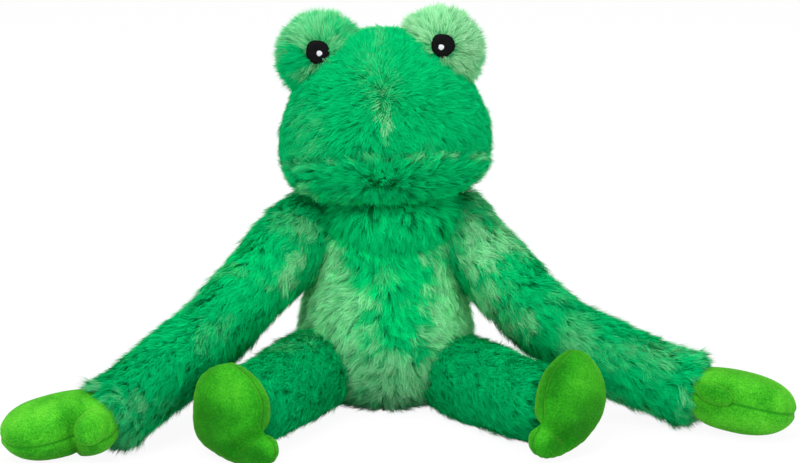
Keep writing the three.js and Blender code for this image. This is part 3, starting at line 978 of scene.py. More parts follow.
@dataclass
class FurPart:
    """A stuffed part of fur cloth, with a pile that its own class describes.

    At points, comb is the way the pile lies, of which the part along the surface counts; keep
    is where it grows; tone is its share of paler pile; length_share is its length as a share
    of the coat's; and light is how light it is, 1 as the finish has it, where parts paint light and
    shade.
    """

    shop: Workshop
    fill = 0.8
    slot = Slot.FUR_GREEN
    sizes = (48, 32)
    length_share = staticmethod(evenly)
    light = staticmethod(evenly)

    def grow(
        self, form: Form, coat: Coat, seed: int, keep: Optional[Field] = None,
        tone: Optional[Field] = None,
    ) -> Strands:
        """Grows a pile on a form.

        Each strand is a tapered strip of two parts. Its root lies near its tuft's root, it
        leaves the cloth at the first rise angle and lies down by the last, and it drifts
        towards the tuft's middle as it goes.

        Args:
            form: The cloth's surface.
            coat: The pile.
            seed: The seed of all that is random here.
            keep: Where the pile grows, if not as the part's own.
            tone: The share of paler pile, if not as the part's own.

        Returns:
            The strands.
        """
        chance = np.random.default_rng(seed)
        u, v = tuft_roots(form, coat.spacing, chance)
        root = form.at(u, v)
        kept = (keep or self.keep)(root).astype(bool)
        root, outward = root[kept], form.normals(u[kept], v[kept])
        tufts, count = len(root), coat.strands
        total = tufts * count
        nap = self.comb(root)
        nap = nap - (nap * outward).sum(1, keepdims=True) * outward
        uncombed = coat.uncombed_rise * (1 - np.minimum(np.linalg.norm(nap, axis=1), 1))
        nap = unit(nap)
        swing = coat.wander * ripple(root, coat.wander_scale, seed + 1)
        swing += chance.normal(0, coat.stray, tufts)
        aside = np.cross(outward, nap)
        nap = unit(nap * np.cos(swing)[:, None] + aside * np.sin(swing)[:, None])
        tuft_length = coat.length * chance.uniform(*coat.tuft_lengths, tufts)
        tuft_length = tuft_length * self.length_share(root)
        tuft_tone = (tone or self.tone)(root)
        # painted light and shade: the part's light field, times a random tone per tuft
        tuft_light = (1 + coat.vary * chance.normal(0, 0.5, tufts)) * self.light(root)
        tuft_rise = uncombed + chance.normal(0, coat.tuft_rise, tufts)
        tuft_curl = chance.normal(0, coat.curl, tufts)

        def each(values: Array) -> Array:
            """Repeats each tuft's value for its strands."""
            return np.repeat(values, count, axis=0)

        n, d, s = each(outward), each(nap), each(np.cross(outward, nap))
        rise, paler = each(tuft_rise), each(tuft_tone)
        angle = chance.uniform(0, TURN, total)
        away = coat.spread * np.sqrt(chance.random(total))
        offset = d * (away * np.cos(angle))[:, None] + s * (away * np.sin(angle))[:, None]
        aim = chance.normal(0, coat.aim, total)
        bow = each(tuft_curl) + chance.normal(0, coat.bow, total)
        length = each(tuft_length) * chance.uniform(*coat.strand_lengths, total)
        parts = len(coat.rise)
        spine = [each(root) + offset - n * coat.sunk]
        for part, first_rise in enumerate(coat.rise):
            slope = np.radians(first_rise + rise + chance.normal(0, coat.strand_rise, total))
            lean = unit(d + s * (aim + part * bow)[:, None])
            heading = lean * np.cos(slope)[:, None] + n * np.sin(slope)[:, None]
            step = heading * (length / parts)[:, None] - offset * (coat.gather / parts)
            spine.append(spine[-1] + step)
        roll = chance.normal(0, coat.twist, total)
        flat = unit(np.cross(lean, n)) * np.cos(roll)[:, None] + n * np.sin(roll)[:, None]
        half = coat.width / 2 * chance.uniform(*coat.strand_widths, total)[:, None]
        edges = [
            centre + sign * flat * half * share
            for share, centre in zip(coat.taper, spine) for sign in (-1, 1)
        ]
        fan = coat.fan * flat * chance.normal(0, 1, total)[:, None]
        facing = unit(n + fan + coat.nod * heading)
        lightness = each(tuft_light) * (1 + coat.vary * chance.uniform(-1, 1, total))
        ragged = coat.ragged * chance.normal(0, 1, total) - coat.ragged / 2
        pale = np.clip(paler * (1 + ragged) + ragged * (paler > 0.02), 0, 1)
        points = np.stack([*edges, spine[-1]], axis=1)
        return Strands(points, facing, np.stack([lightness, pale], axis=1))

    def dressed(
        self, name: str, form: Form, strands: Strands, carried: Carried, *nodes: str
    ) -> list[Piece]:
        """Makes the stuffed cloth and its pile.

        Args:
            name: The pieces' name, with a gap for what each of them is.
            form: The cloth's surface.
            strands: The pile.
            carried: How both follow the frame.
            *nodes: The frame's nodes that the cloth stands for.

        Returns:
            The pieces.
        """
        backing, pile = self.shop.fur[self.slot]
        body = build_mesh(name.format("body"), closed_grid(form, *self.sizes), backing)
        carried.take(body, self.slot, nodes, self.fill)
        return [body, *fur_pieces(name.format("fur"), strands, pile, carried, self.slot)]


# Sub-assemblies. A row of shares gives the height, the half width and the front and back edges.
# A row of an oval gives its middle and half its spans in pixels, its turn and its strength.

TORSO_SHARES = np.array([
    [0.0, 0.0, 0.0, 0.0], [0.005, 0.4, -0.42, 0.4], [0.03, 0.64, -0.68, 0.64],
    [0.1, 0.83, -0.88, 0.83], [0.19, 0.95, -1.0, 0.94], [0.29, 1.0, -1.04, 0.98],
    [0.42, 0.99, -1.0, 0.96], [0.55, 0.93, -0.9, 0.9], [0.68, 0.86, -0.8, 0.82],
    [0.8, 0.8, -0.71, 0.74], [0.9, 0.74, -0.6, 0.66], [0.97, 0.56, -0.43, 0.48],
    [1.0, 0.0, 0.0, 0.0],
])
# Paler patches on the torso's front where the pile's lie turns: its paler sides and roots show, and
# part of the paleness is painted sheen.
TORSO_PALE = (
    (326, 262, 17, 34, 22, 0.8), (330, 320, 40, 50, 12, 0.95), (358, 302, 26, 14, -20, 0.4),
    (385, 268, 5, 11, 20, 0.3), (449, 262, 17, 34, -14, 0.85), (449, 318, 31, 48, 0, 1.25),
    (384, 368, 66, 20, 0, 0.9), (388, 396, 44, 14, 0, 0.6),
)
# Painted light and shade on the torso's front: lighter on the chest under the chin's shadow, on the
# belly and flanks, darker low on the belly and between the legs.
TORSO_PAINTED_LIGHT = (
    (385, 222, 62, 26, 0, 0.5), (385, 290, 75, 60, 0, 0.24), (385, 366, 70, 20, 0, -0.12),
    (385, 402, 70, 18, 0, -0.4), (456, 300, 26, 56, 0, 0.26), (315, 290, 24, 60, 0, 0.1),
)
HEAD_SHARES = np.array([
    [0.0, 0.0, -0.33, -0.33], [0.03, 0.52, -0.76, 0.16], [0.07, 0.77, -0.92, 0.4],
    [0.13, 0.91, -1.02, 0.6], [0.21, 0.98, -1.09, 0.74], [0.32, 1.0, -1.12, 0.84],
    [0.45, 0.99, -1.07, 0.88], [0.58, 0.92, -0.93, 0.86], [0.68, 0.82, -0.77, 0.81],
    [0.77, 0.7, -0.61, 0.73], [0.85, 0.57, -0.46, 0.63], [0.92, 0.43, -0.31, 0.51],
    [0.97, 0.27, -0.13, 0.35], [1.0, 0.0, 0.1, 0.1],
])
HEAD_PALE = (
    (384, 111, 3.3, 24, -4, 1.4), (379, 42, 5, 9, 0, 0.25), (306, 190, 9, 12, 20, 0.45),
    (336, 204, 7, 7, 0, 0.6), (480, 182, 9, 12, -10, 0.3),
)


@dataclass
class Torso(FurPart):
    """The pear-shaped body, its belly pile parted along the middle seam."""

    sizes = (72, 48)
    limbs: list[Form] = field(default_factory=list)
    coat: Coat = Coat(spread=2.9, gather=0.5, stray=0.24, vary=0.2)
    bare_under: float = 1.5

    def __post_init__(self) -> None:
        """Lays out the body's form, its colours and its painted light and shade."""
        self.outside = LevelForm(
            height=152, width=133, thick=116, squareness=2.2, shares=TORSO_SHARES,
            origin=SEAT - [1.0, 0.0, 0.0], lift=-0.5,
        )
        self.tone, self.light = blotched(TORSO_PALE, 31), with_painted_light(TORSO_PAINTED_LIGHT)

    def comb(self, points: Array) -> Array:
        """Down, and outwards from the middle seam on the front."""
        local = points - SEAT
        front = smooth_step(10, -20, local[:, 1])
        low = 0.55 + 0.5 * smooth_step(130, 70, local[:, 2])
        aside = low * np.tanh(local[:, 0] / 12) * front
        return np.stack([aside, -0.2 * front, np.full(len(points), -1.0)], axis=1)

    def keep(self, points: Array) -> Array:
        """Away from the limbs' insides and from under the seat."""
        hidden = hidden_in(self.limbs, points, self.coat.pile_depth + 4)
        return ~hidden & (points[:, 2] >= self.bare_under)

    def build(self) -> list[Piece]:
        """Builds the cloth body and its pile."""
        base = Inset(self.outside, self.coat.pile_depth)
        nodes = ("torso_left", "torso_right", "torso_filling")
        strands = self.grow(base, self.coat, 11)
        return self.dressed("torso_{}", base, strands, Carried(("torso",)), *nodes)


@dataclass
class Head(FurPart):
    """The wide wedge head: pile whorls at the brow and the chin, and the mouth's seam."""

    fill = 0.9
    sizes = (72, 48)
    coat: Coat = Coat(length=11.5, spread=3.5, gather=0.2, stray=0.17, vary=0.11)
    jaw_coat: Coat = Coat(length=12.0, spread=2.9, gather=0.5, stray=0.3, vary=0.2)
    height: float = 128.0
    width: float = 159.0
    thick: float = 130.0
    squareness: float = 2.35
    roll: float = 3.0
    chin_lift: float = 12.0
    aside: float = -1.2
    mouth_share: float = 0.36
    mouth_rise: float = 12.5
    mouth_row: int = 5
    brow_pixels: tuple[Pair, Pair] = ((381, 86), (383, 98))
    chin_pixels: tuple[Pair, Pair] = ((374, 188), (396, 187))

    def __post_init__(self) -> None:
        """Lays out the head, its partings and its eye pads."""
        self.outside = LevelForm(
            self.height, self.width, self.thick, self.squareness, HEAD_SHARES,
            NECK_AT + np.array([self.aside, 0.0, 0.0]), lift=self.chin_lift, roll=self.roll,
        )
        self.base = Inset(self.outside, self.coat.pile_depth)
        self.cloth = Pinched(self.base, self)
        self.brow, self.chin = (
            np.stack([self.base.seen_at(pixel) for pixel in pixels])
            for pixels in (self.brow_pixels, self.chin_pixels)
        )
        self.tone_under = blotched(HEAD_PALE, 41, patchy=0.06)
        self.pads = [
            EyePad(self.shop, Side.LEFT, self, nudge=(1.2, 0.0, -2.4), patch_shift=(-1.8, 1.5),
                   pale=0.5, darker=((293, 82, 28, 24, 25, -0.9), (338, 44, 16, 24, 0, -0.3))),
            EyePad(self.shop, Side.RIGHT, self, nudge=(-4.3, 0.0, -4.0), patch_shift=(3.0, 2.7),
                   pale=0.94, darker=((478, 72, 12, 16, 0, -0.3),)),
        ]

    def local(self, points: Array) -> Array:
        """Points in the head's own unrolled place, from the neck's centre."""
        return (points - NECK_AT) @ self.outside.matrix

    def over_mouth(self, points: Array) -> Array:
        """How far points lie above the mouth's plane."""
        place = self.local(points)
        rise = math.radians(self.mouth_rise)
        front = HEAD_SHARES[self.mouth_row][2] * self.thick / 2
        level = self.chin_lift + self.mouth_share * self.height
        return (place[:, 2] - level) * math.cos(rise) + (place[:, 1] - front) * math.sin(rise)

    def comb(self, points: Array) -> Array:
        """Outwards from the brow's parting above the mouth and from the chin's below it."""
        over = self.over_mouth(points)[:, None] > 0
        under = smooth_step(4, -14, points[:, 2:] - self.brow[:, 2].mean())
        upper = spread_from(self.brow, points, 6) + 0.3 * under * np.array([0, 0.3, -1.0])
        lower = spread_from(self.chin, points, 12) + 0.15 * np.array([0, 0.5, -0.6])
        return np.where(over, upper, lower)

    def tone(self, points: Array) -> Array:
        """Pale roots along the lower lip, broken up and fainter on the left, over the blotches."""
        x, y, _ = self.local(points).T
        lip = 1.15 * bell(self.over_mouth(points) + 3.8, 2.5) * smooth_step(20, -5, y)
        corners = 0.55 + 0.45 * smooth_step(8, 40, x)
        broken = np.clip(0.6 + 0.75 * ripple(points, 9, 43), 0, 1.2)
        return np.clip(self.tone_under(points) + lip * corners * broken, 0, 1)

    def length_share(self, points: Array) -> Array:
        """Shorter pile at the partings, on the crown, and where it would cross the mouth."""
        _, y, z = self.local(points).T
        room = np.abs(self.over_mouth(points)) + 4.5 + 3.5 * ripple(points, 7, 44)
        brief = 1 - 0.25 * smooth_step(45, 75, z - self.chin_lift)
        for parting in (self.brow, self.chin):
            gap = np.linalg.norm(away_from(parting, points), axis=1)
            brief = brief * (0.72 + 0.28 * smooth_step(2, 16, gap))
        cut = (1 - np.clip(room / self.coat.length, 0.4, 1)) * smooth_step(35, 15, y)
        return brief * (1 - cut)

    def light(self, points: Array) -> Array:
        """Painted shade: a little darker where the pile parts at the brow."""
        gap = np.linalg.norm(away_from(self.brow, points), axis=1)
        return 0.96 + 0.04 * smooth_step(3, 16, gap)

    def above(self, points: Array) -> Array:
        """Over the mouth and outside the eye pads."""
        pads = [pad.outside for pad in self.pads]
        outside_pads = ~hidden_in(pads, points, self.coat.pile_depth + 2)
        return outside_pads & (self.over_mouth(points) > 0)

    def below(self, points: Array) -> Array:
        """On the jaw."""
        return self.over_mouth(points) <= 0

    def build(self) -> list[Piece]:
        """Builds the cloth head, its pile and its eyes."""
        strands = self.grow(self.cloth, self.coat, 21, self.above)
        strands += self.grow(self.cloth, self.jaw_coat, 22, self.below)
        nodes = ("head_crown", "head_jaw", "head_filling")
        made = self.dressed("head_{}", self.cloth, strands, Carried(("head",)), *nodes)
        for pad in self.pads:
            made += pad.build()
        return made


@dataclass
class Pinched(Form):
    """The head's cloth drawn in along the mouth's seam."""

    form: Form
    head: Head
    deep: float = 3.2
    wide: float = 5.0

    def at(self, u: Array, v: Array) -> Array:
        """Points moved in along their normals by a bell curve over the seam's distance."""
        points = self.form.at(u, v)
        front = smooth_step(-12, -45, self.head.local(points)[:, 1])
        drawn = self.deep * (bell(self.head.over_mouth(points), self.wide) * front)
        return points - drawn[:, None] * self.form.normals(u, v)


@dataclass
class Stitched(Form):
    """A low round dome of satin stitch: ridges run across it and fade at the rim.

    The axes are the ways across it and down it, and the way that it faces.
    """

    origin: Array
    axes: Array
    radius: float
    floor: float
    thick: float
    ridges: int
    ridge_height: float = 0.14

    def at(self, u: Array, v: Array) -> Array:
        """Points: a flattened ball whose upper half carries sine ridges across it."""
        angle, tilt = TURN * u, math.pi * (v - 0.5)
        share = np.cos(tilt) ** 0.45
        x, y = self.radius * share * np.cos(angle), self.radius * share * np.sin(angle)
        rows = np.sin(self.ridges * x / self.radius + 0.6 * np.sin(y))
        ridge = self.ridge_height * rows * np.sin(np.clip(tilt, 0, None))
        height = self.floor + np.sin(tilt) * self.thick / 2 + self.thick / 2 + ridge
        wave = 1 + 0.035 * np.sin(3 * angle + 2) + 0.02 * np.sin(5 * angle)
        wave = wave + 0.012 * np.sin(17 * angle)
        return np.stack([x * wave, y * wave, height], axis=1) @ self.axes + self.origin


@dataclass
class EyePad(FurPart):
    """A round pad behind the crown, with its stitched eye patch and glint."""

    fill = 0.9
    slot = Slot.FUR_PALE
    side: Side
    head: Head
    nudge: Triple
    patch_shift: Pair
    pale: float
    darker: Ovals
    width: float = 68.0
    thick: float = 54.0
    spread: float = 46.5
    back: float = 13.0
    height_share: float = 0.84
    look_up: float = 15.0
    patch_radius: float = 8.8
    patch_thick: float = 2.6
    patch_sunk: float = 3.7
    glint_radius: float = 2.1
    glint_thick: float = 1.3
    glint_over: float = 1.9
    glint_shift: float = 1.3
    bare_rim: float = 1.2
    coat: Coat = Coat(
        spacing=2.9, length=10.5, rise=(54.0, 34.0), gather=0.05, stray=0.12, vary=0.1
    )

    def __post_init__(self) -> None:
        """Lays out the pad, its poles along the way it looks."""
        turn = self.head.outside.matrix
        level = self.head.chin_lift + self.height_share * self.head.height
        tilt = math.radians(self.look_up)
        self.look = turn @ np.array([0.0, -math.cos(tilt), math.sin(tilt)])
        self.across = turn @ np.array([1.0, 0.0, 0.0])
        self.down = np.cross(self.across, self.look)
        wide, flat = self.width / 2, self.thick / 2
        self.centre = turn @ np.array([self.side.sign * self.spread, self.back, level])
        self.centre = self.centre + NECK_AT + self.nudge
        axes = np.stack([self.across, -self.down, self.look])
        self.outside = Ball(self.centre, np.array([wide, wide, flat]), axes)
        self.surface = 1 / math.hypot(math.cos(tilt) / flat, math.sin(tilt) / wide)
        aside, above = self.patch_shift
        self.middle = self.centre + aside * self.across - above * self.down
        self.tone = blotched(self.darker, 51 + self.side.sign, self.pale)
        self.carried = Carried(("head",))

    def comb(self, points: Array) -> Array:
        """Outwards from the patch, and down over the back."""
        behind = smooth_step(2.0, -14.0, (points - self.centre) @ self.look)
        ahead = self.centre + self.look * self.thick
        return unit(points - ahead) - 1.3 * behind[:, None] * UP

    def keep(self, points: Array) -> Array:
        """Outside the head and clear of the patch."""
        away = points - self.middle
        ahead = away @ self.look
        gap = np.linalg.norm(away - ahead[:, None] * self.look, axis=1)
        on_patch = (ahead > 0) & (gap < self.patch_radius - self.bare_rim)
        return ~hidden_in([self.head.outside], points, 9) & ~on_patch

    def build(self) -> list[Piece]:
        """Builds the pad, its pile, the patch and the glint on it."""
        label, sign = self.side.label, self.side.sign
        base = Inset(self.outside, self.coat.pile_depth)
        made = self.dressed(
            f"eye_pad_{{}}_{label}", base, self.grow(base, self.coat, 61 + sign), self.carried,
            f"eye_pad_{label}", f"eye_pad_filling_{label}",
        )
        axes = np.stack([self.across, self.down, self.look])
        floor = self.surface - self.patch_sunk
        patch = Stitched(self.middle, axes, self.patch_radius, floor, self.patch_thick, 60)
        shift = self.glint_shift * (self.down - sign * self.across)
        glint = Stitched(
            self.middle + shift, axes, self.glint_radius, floor + self.glint_over,
            self.glint_thick, 14,
        )
        return [
            *made,
            self.stitch("patch", patch, self.shop.black_stitch, Slot.BLACK_FELT, 110, 32),
            self.stitch("glint", glint, self.shop.white_stitch, Slot.PALE_THREAD, 48, 20),
        ]

    def stitch(
        self, kind: str, form: Stitched, material: Material, slot: Slot, *sizes: int
    ) -> Piece:
        """Makes the patch or the glint, in place of the frame's."""
        label = self.side.label
        name = f"eye_{kind}_stitched_{label}"
        piece = build_mesh(name, closed_grid(form, *sizes), material)
        return self.carried.take(piece, slot, (f"eye_{kind}_{label}",))


@dataclass
class Neck(FurPart):
    """The furred fold between torso and head, a low round collar that turns with the neck."""

    radii: Triple = (48.0, 45.0, 30.0)
    shift: Triple = (0.0, -2.0, -1.0)
    waist: float = 18.0
    less_behind: float = 6.0
    ragged: float = 6.0
    coat: Coat = Coat(length=14.0, pile_depth=4.0, rise=(58.0, 34.0), gather=0.4)
    tone = staticmethod(blotched((), 131))

    @staticmethod
    def behind(points: Array) -> Array:
        """0 in front of the neck, 1 behind it."""
        return smooth_step(NECK_AT[1] - 8, NECK_AT[1] + 24, points[:, 1])

    @staticmethod
    def comb(points: Array) -> Array:
        """Down and a little outwards."""
        return 0.5 * unit((points - NECK_AT) * [1.0, 1.0, 0.0]) - UP

    def keep(self, points: Array) -> Array:
        """Only the waist of the collar shows, and less of it behind."""
        reach = self.waist - self.less_behind * self.behind(points)
        reach = reach + self.ragged * ripple(points, 10, 137)
        return np.abs(points[:, 2] - NECK_AT[2] - 2) < reach

    def light(self, points: Array) -> Array:
        """Painted light and shade: brighter in front, under the chin's shadow, a little darker
        behind.
        """
        return 1.3 - 0.36 * self.behind(points)

    def build(self) -> list[Piece]:
        """Builds the collar of cloth and its pile."""
        ball = Ball(NECK_AT + self.shift, np.array(self.radii) - self.coat.pile_depth)
        strands = self.grow(ball, self.coat, 131)
        return self.dressed("neck_{}", ball, strands, Carried(("neck",)), "neck_ball")


# Hands and feet. A row of their outlines is a corner, in shares of the spans.

LEFT_HAND_SHARES = np.array([
    [-0.1, 0.0], [0.02, -0.3], [0.14, -0.4], [0.36, -0.48], [0.6, -0.51], [0.82, -0.44],
    [0.96, -0.24], [1.0, 0.0], [0.96, 0.25], [0.86, 0.4], [0.7, 0.46], [0.54, 0.44],
    [0.45, 0.4], [0.435, 0.5], [0.41, 0.63], [0.33, 0.72], [0.2, 0.68], [0.1, 0.52],
    [0.02, 0.29],
])
RIGHT_HAND_SHARES = np.array([
    [-0.1, 0.0], [0.02, -0.3], [0.14, -0.4], [0.36, -0.48], [0.6, -0.51], [0.82, -0.44],
    [0.96, -0.24], [1.0, 0.0], [0.96, 0.25], [0.86, 0.4], [0.7, 0.47], [0.54, 0.51],
    [0.4, 0.54], [0.25, 0.54], [0.1, 0.45], [0.02, 0.27],
])
# Ovals of painted light and shade on the hands' nap: lighter on the tops, darker in the dimple,
# under the crease and low down.
HAND_PAINTED_SHADING = (
    (34, 416, 34, 14, -15, 0.3), (92, 414, 16, 14, 0, 0.25), (62, 412, 12, 10, 0, -0.2),
    (60, 455, 60, 10, 0, -0.25), (722, 392, 16, 9, 20, -0.3), (745, 425, 45, 9, 8, 0.3),
    (705, 375, 16, 8, 20, 0.15), (785, 405, 14, 14, 0, 0.2),
)
LEFT_FOOT_SHARES = np.array([
    [-0.1, 0.49], [-0.34, 0.39], [-0.47, 0.27], [-0.51, 0.09], [-0.5, -0.1], [-0.47, -0.26],
    [-0.34, -0.38], [-0.15, -0.44], [0.09, -0.5], [0.38, -0.5], [0.6, -0.46], [0.69, -0.36],
    [0.68, -0.25], [0.6, -0.18], [0.45, -0.15], [0.46, -0.02], [0.49, 0.1], [0.44, 0.2],
    [0.27, 0.37], [0.06, 0.46],
])
RIGHT_FOOT_SHARES = np.array([
    [-0.1, 0.5], [-0.27, 0.44], [-0.4, 0.3], [-0.48, 0.15], [-0.5, 0.02], [-0.46, -0.14],
    [-0.33, -0.28], [-0.1, -0.42], [0.11, -0.48], [0.3, -0.51], [0.47, -0.5], [0.59, -0.43],
    [0.64, -0.34], [0.56, -0.23], [0.42, -0.13], [0.43, 0.01], [0.37, 0.16], [0.25, 0.33],
    [0.06, 0.44],
])
# Ovals of painted light and shade on the feet's nap: lighter on the tops and the toe lobes, darker
# at the sides and low down.
FOOT_PAINTED_SHADING = (
    (236, 388, 22, 26, -30, 0.4), (205, 425, 16, 24, 0, -0.25), (240, 452, 30, 9, 10, -0.3),
    (270, 448, 9, 9, 0, 0.25), (588, 378, 20, 26, 20, 0.35), (556, 380, 9, 24, 20, -0.25),
    (572, 436, 26, 12, -30, -0.3), (543, 436, 9, 10, 0, 0.3),
)


@dataclass(frozen=True)
class Crease:
    """A fold drawn into a stuffed panel from a notch in its outline, in shares of its spans."""

    start: Pair
    end: Pair
    deep: float
    wide: float
    both: bool = False

    def left(self, points: Array, spans: Array) -> Array:
        """What the fold leaves of the loft: least on its line, and less deep at its end."""
        start, run = self.start * spans, (np.array(self.end) - self.start) * spans
        place = np.clip((points - start) @ run / (run @ run), 0, 1)
        gap = np.linalg.norm(points - start - place[:, None] * run, axis=1)
        return 1 - self.deep * (1 - 0.5 * place) * bell(gap, self.wide)


@dataclass
class Panel:
    """A sewn outline and the loft of the stuffing inside it.

    Stuffing lifts cloth as pressure does: the loft's square solves Poisson's equation inside
    the outline, so a narrow lobe stays low and a notch makes a valley. The loft is kept as a
    share of an even dome, whose height is the square root of 1 - s * s at a share s of the
    way out to the outline.
    """

    corners: Array
    middle: Array
    step: float = 2.0
    turns: int = 1400
    margin: int = 4
    trusted: float = 0.93
    grown: int = 8
    blurs: int = 4

    def __post_init__(self) -> None:
        """Solves the loft on a grid, by averaging neighbours over and over.

        Near the outline, where both the loft and the dome go to nothing, the share is grown
        from the trusted part outwards, ring by ring, and then blurred.
        """
        outline = on_curve(self.corners, np.arange(360) / 360, closed=True)
        away = outline - self.middle
        angle = np.arctan2(away[:, 1], away[:, 0])
        order = np.argsort(angle)
        self.angles, self.reach = angle[order], np.linalg.norm(away, axis=1)[order]
        self.low = outline.min(axis=0) - self.margin * self.step
        high = outline.max(axis=0) + self.margin * self.step
        x, y = (np.arange(self.low[axis], high[axis], self.step) for axis in (0, 1))
        grid = np.stack(np.meshgrid(x, y, indexing="ij"), axis=-1)
        out = self.way_out(grid.reshape(-1, 2)).reshape(grid.shape[:2])
        height = np.zeros(out.shape)
        for _ in range(self.turns):
            height[1:-1, 1:-1] = np.where(out < 1, self.around(height) + 1, 0)[1:-1, 1:-1] / 4
        known = out < self.trusted
        share = np.where(known, height / np.maximum(1 - out ** 2, 0.01), 0)
        weight = known.astype(float)
        for _ in range(self.grown):
            ring, count = self.around(share * weight), self.around(weight)
            fresh = (weight == 0) & (count > 0)
            share = np.where(fresh, ring / np.maximum(count, 1), share)
            weight = np.where(fresh, 1.0, weight)
        for _ in range(self.blurs):
            share[1:-1, 1:-1] = ((4 * share + self.around(share)) / 8)[1:-1, 1:-1]
        self.shares = np.sqrt(share / share.max())

    @staticmethod
    def around(grid: Array) -> Array:
        """The sum of each cell's four neighbours; the grid's edges meet."""
        return sum(np.roll(grid, way, (0, 1)) for way in ((-1, 0), (1, 0), (0, -1), (0, 1)))

    def way_out(self, points: Array) -> Array:
        """How far out points lie, as a share of the way from the middle to the outline."""
        away = points - self.middle
        angle = np.arctan2(away[:, 1], away[:, 0])
        edge = np.interp(angle, self.angles, self.reach, period=TURN)
        return np.linalg.norm(away, axis=1) / edge

    def loft(self, points: Array) -> Array:
        """The loft's share at points, between the grid's four nearest values."""
        place = (points - self.low) / self.step
        cell = np.clip(np.floor(place).astype(int), 0, np.array(self.shares.shape) - 2)
        i, j = cell.T
        a, b = np.clip(place - cell, 0, 1).T
        near = self.shares[i, j] * (1 - a) + self.shares[i + 1, j] * a
        far = self.shares[i, j + 1] * (1 - a) + self.shares[i + 1, j + 1] * a
        return near * (1 - b) + far * b


@dataclass
class Pillow(Form):
    """Two panels sewn round a smooth outline and stuffed.

    Rings shrink from the outline towards its middle as the height grows on a circle, up to a
    share of it on the under side, where the loft may be made more even. The seam is drawn in,
    and the cloth puckers where it meets it.
    """

    spans: Array
    thick: float
    shares: Array
    panel: Panel
    matrix: Array
    origin: Array
    seed: int
    under: float
    even: float = 0.0
    creases: tuple[Crease, ...] = ()
    puff: float = 0.8
    seam_depth: float = 1.0
    seam_width: float = 0.1
    pucker: float = 0.4
    pucker_width: float = 0.28
    puckers: int = 30

    def at(self, u: Array, v: Array) -> Array:
        """Points: the outline scaled about its middle by a cosine power, and the puckers."""
        corners = self.shares * self.spans
        angle = math.pi * (v - 0.5)
        share = np.cos(angle) ** self.puff
        flat = (on_curve(corners, u % 1.0, closed=True) - self.panel.middle) * share[:, None]
        groove = bell(angle, self.seam_width)
        near = np.exp(-np.abs(angle) / self.pucker_width)
        phases = np.random.default_rng(self.seed).uniform(0, TURN, 2)
        wave = np.sin(TURN * self.puckers * u + phases[0])
        wave = wave + 0.7 * np.sin(TURN * round(self.puckers * 0.6) * u + phases[1])
        shift = -self.seam_depth * groove + self.pucker * wave * near * (1 - groove)
        place = flat + self.panel.middle
        flat = flat + self.sideways(corners, u) * shift[:, None]
        loft = self.panel.loft(place)
        loft = loft + np.where(angle < 0, self.even, 0.0) * (1 - loft)
        height = self.thick / 2 * np.sin(angle) * loft * np.where(angle < 0, self.under, 1.0)
        for crease in self.creases:
            drawn = (angle > 0) | crease.both
            height = height * np.where(drawn, crease.left(place, self.spans), 1.0)
        local = np.concatenate([flat + self.panel.middle, height[:, None]], axis=1)
        return local @ self.matrix + self.origin

    @staticmethod
    def sideways(corners: Array, u: Array, step: float = 0.02) -> Array:
        """Directions square to the outline and out of it, smoothed over a short stretch."""
        after, before = (on_curve(corners, (u + way) % 1.0, True) for way in (step, -step))
        run = after - before
        return unit(np.stack([run[:, 1], -run[:, 0]], axis=1))


@dataclass(frozen=True)
class Thumb:
    """A small stuffed lobe laid on a hand, placed by where the photograph shows it.

    Args:
        at: Its middle, in pixels.
        lean: The way its tip points on the screen, in degrees from the right.
        lift: How far its tip is turned out of the hand, in degrees.
        radii: Half its length, width and thickness.
        sunk: How far its middle lies under the hand's surface.
    """

    at: Pair
    lean: float
    lift: float
    radii: Triple
    sunk: float

    def on(self, mitten: Pillow) -> Ball:
        """The lobe on a mitten's near side."""
        across, rise, away = VIEW.axes
        lean, lift = math.radians(self.lean), math.radians(self.lift)
        level = math.cos(lean) * across + math.sin(lean) * rise
        tip = math.cos(lift) * level - math.sin(lift) * away
        inwards = math.cos(lift) * away + math.sin(lift) * level
        centre = mitten.seen_at(self.at) + away * self.sunk
        return Ball(centre, np.array(self.radii), np.stack([tip, np.cross(inwards, tip), inwards]))


def sewn_piece(
    name: str, pillow: Pillow, lobes: list[Ball], material: Material,
    nodes: tuple[str, ...], brushed: Field,
) -> Piece:
    """Makes a hand or foot, its nap and seam as attributes.

    Args:
        name: The piece's name, which is its body's too.
        pillow: Its stuffed panels.
        lobes: What stands out of them, in the same mesh.
        material: Its finish.
        nodes: The frame's nodes that it stands for.
        brushed: How far the nap is raised at points, with painted light and shade.

    Returns:
        The piece.
    """
    whole = closed_grid(pillow, 220, 84)
    # the seam attribute marks the groove, which the finish darkens as painted shade
    seam = bell(whole.v - 0.5, 0.012)
    for lobe in lobes:
        whole = whole + closed_grid(lobe, 48, 28)
    seam = np.pad(seam, (0, len(whole.v) - len(seam)))
    piece = build_mesh(name, whole, material)
    for label, values in (("seam", seam), ("brushed", brushed(whole.points))):
        put(piece.data.attributes.new(label, "FLOAT", "POINT").data, "value", values)
    work = bmesh.new()
    work.from_mesh(piece.data)
    bmesh.ops.recalc_face_normals(work, faces=work.faces)
    work.to_mesh(piece.data)
    work.free()
    return Carried((name,)).take(piece, Slot.LIME_CLOTH, nodes, 0.9)


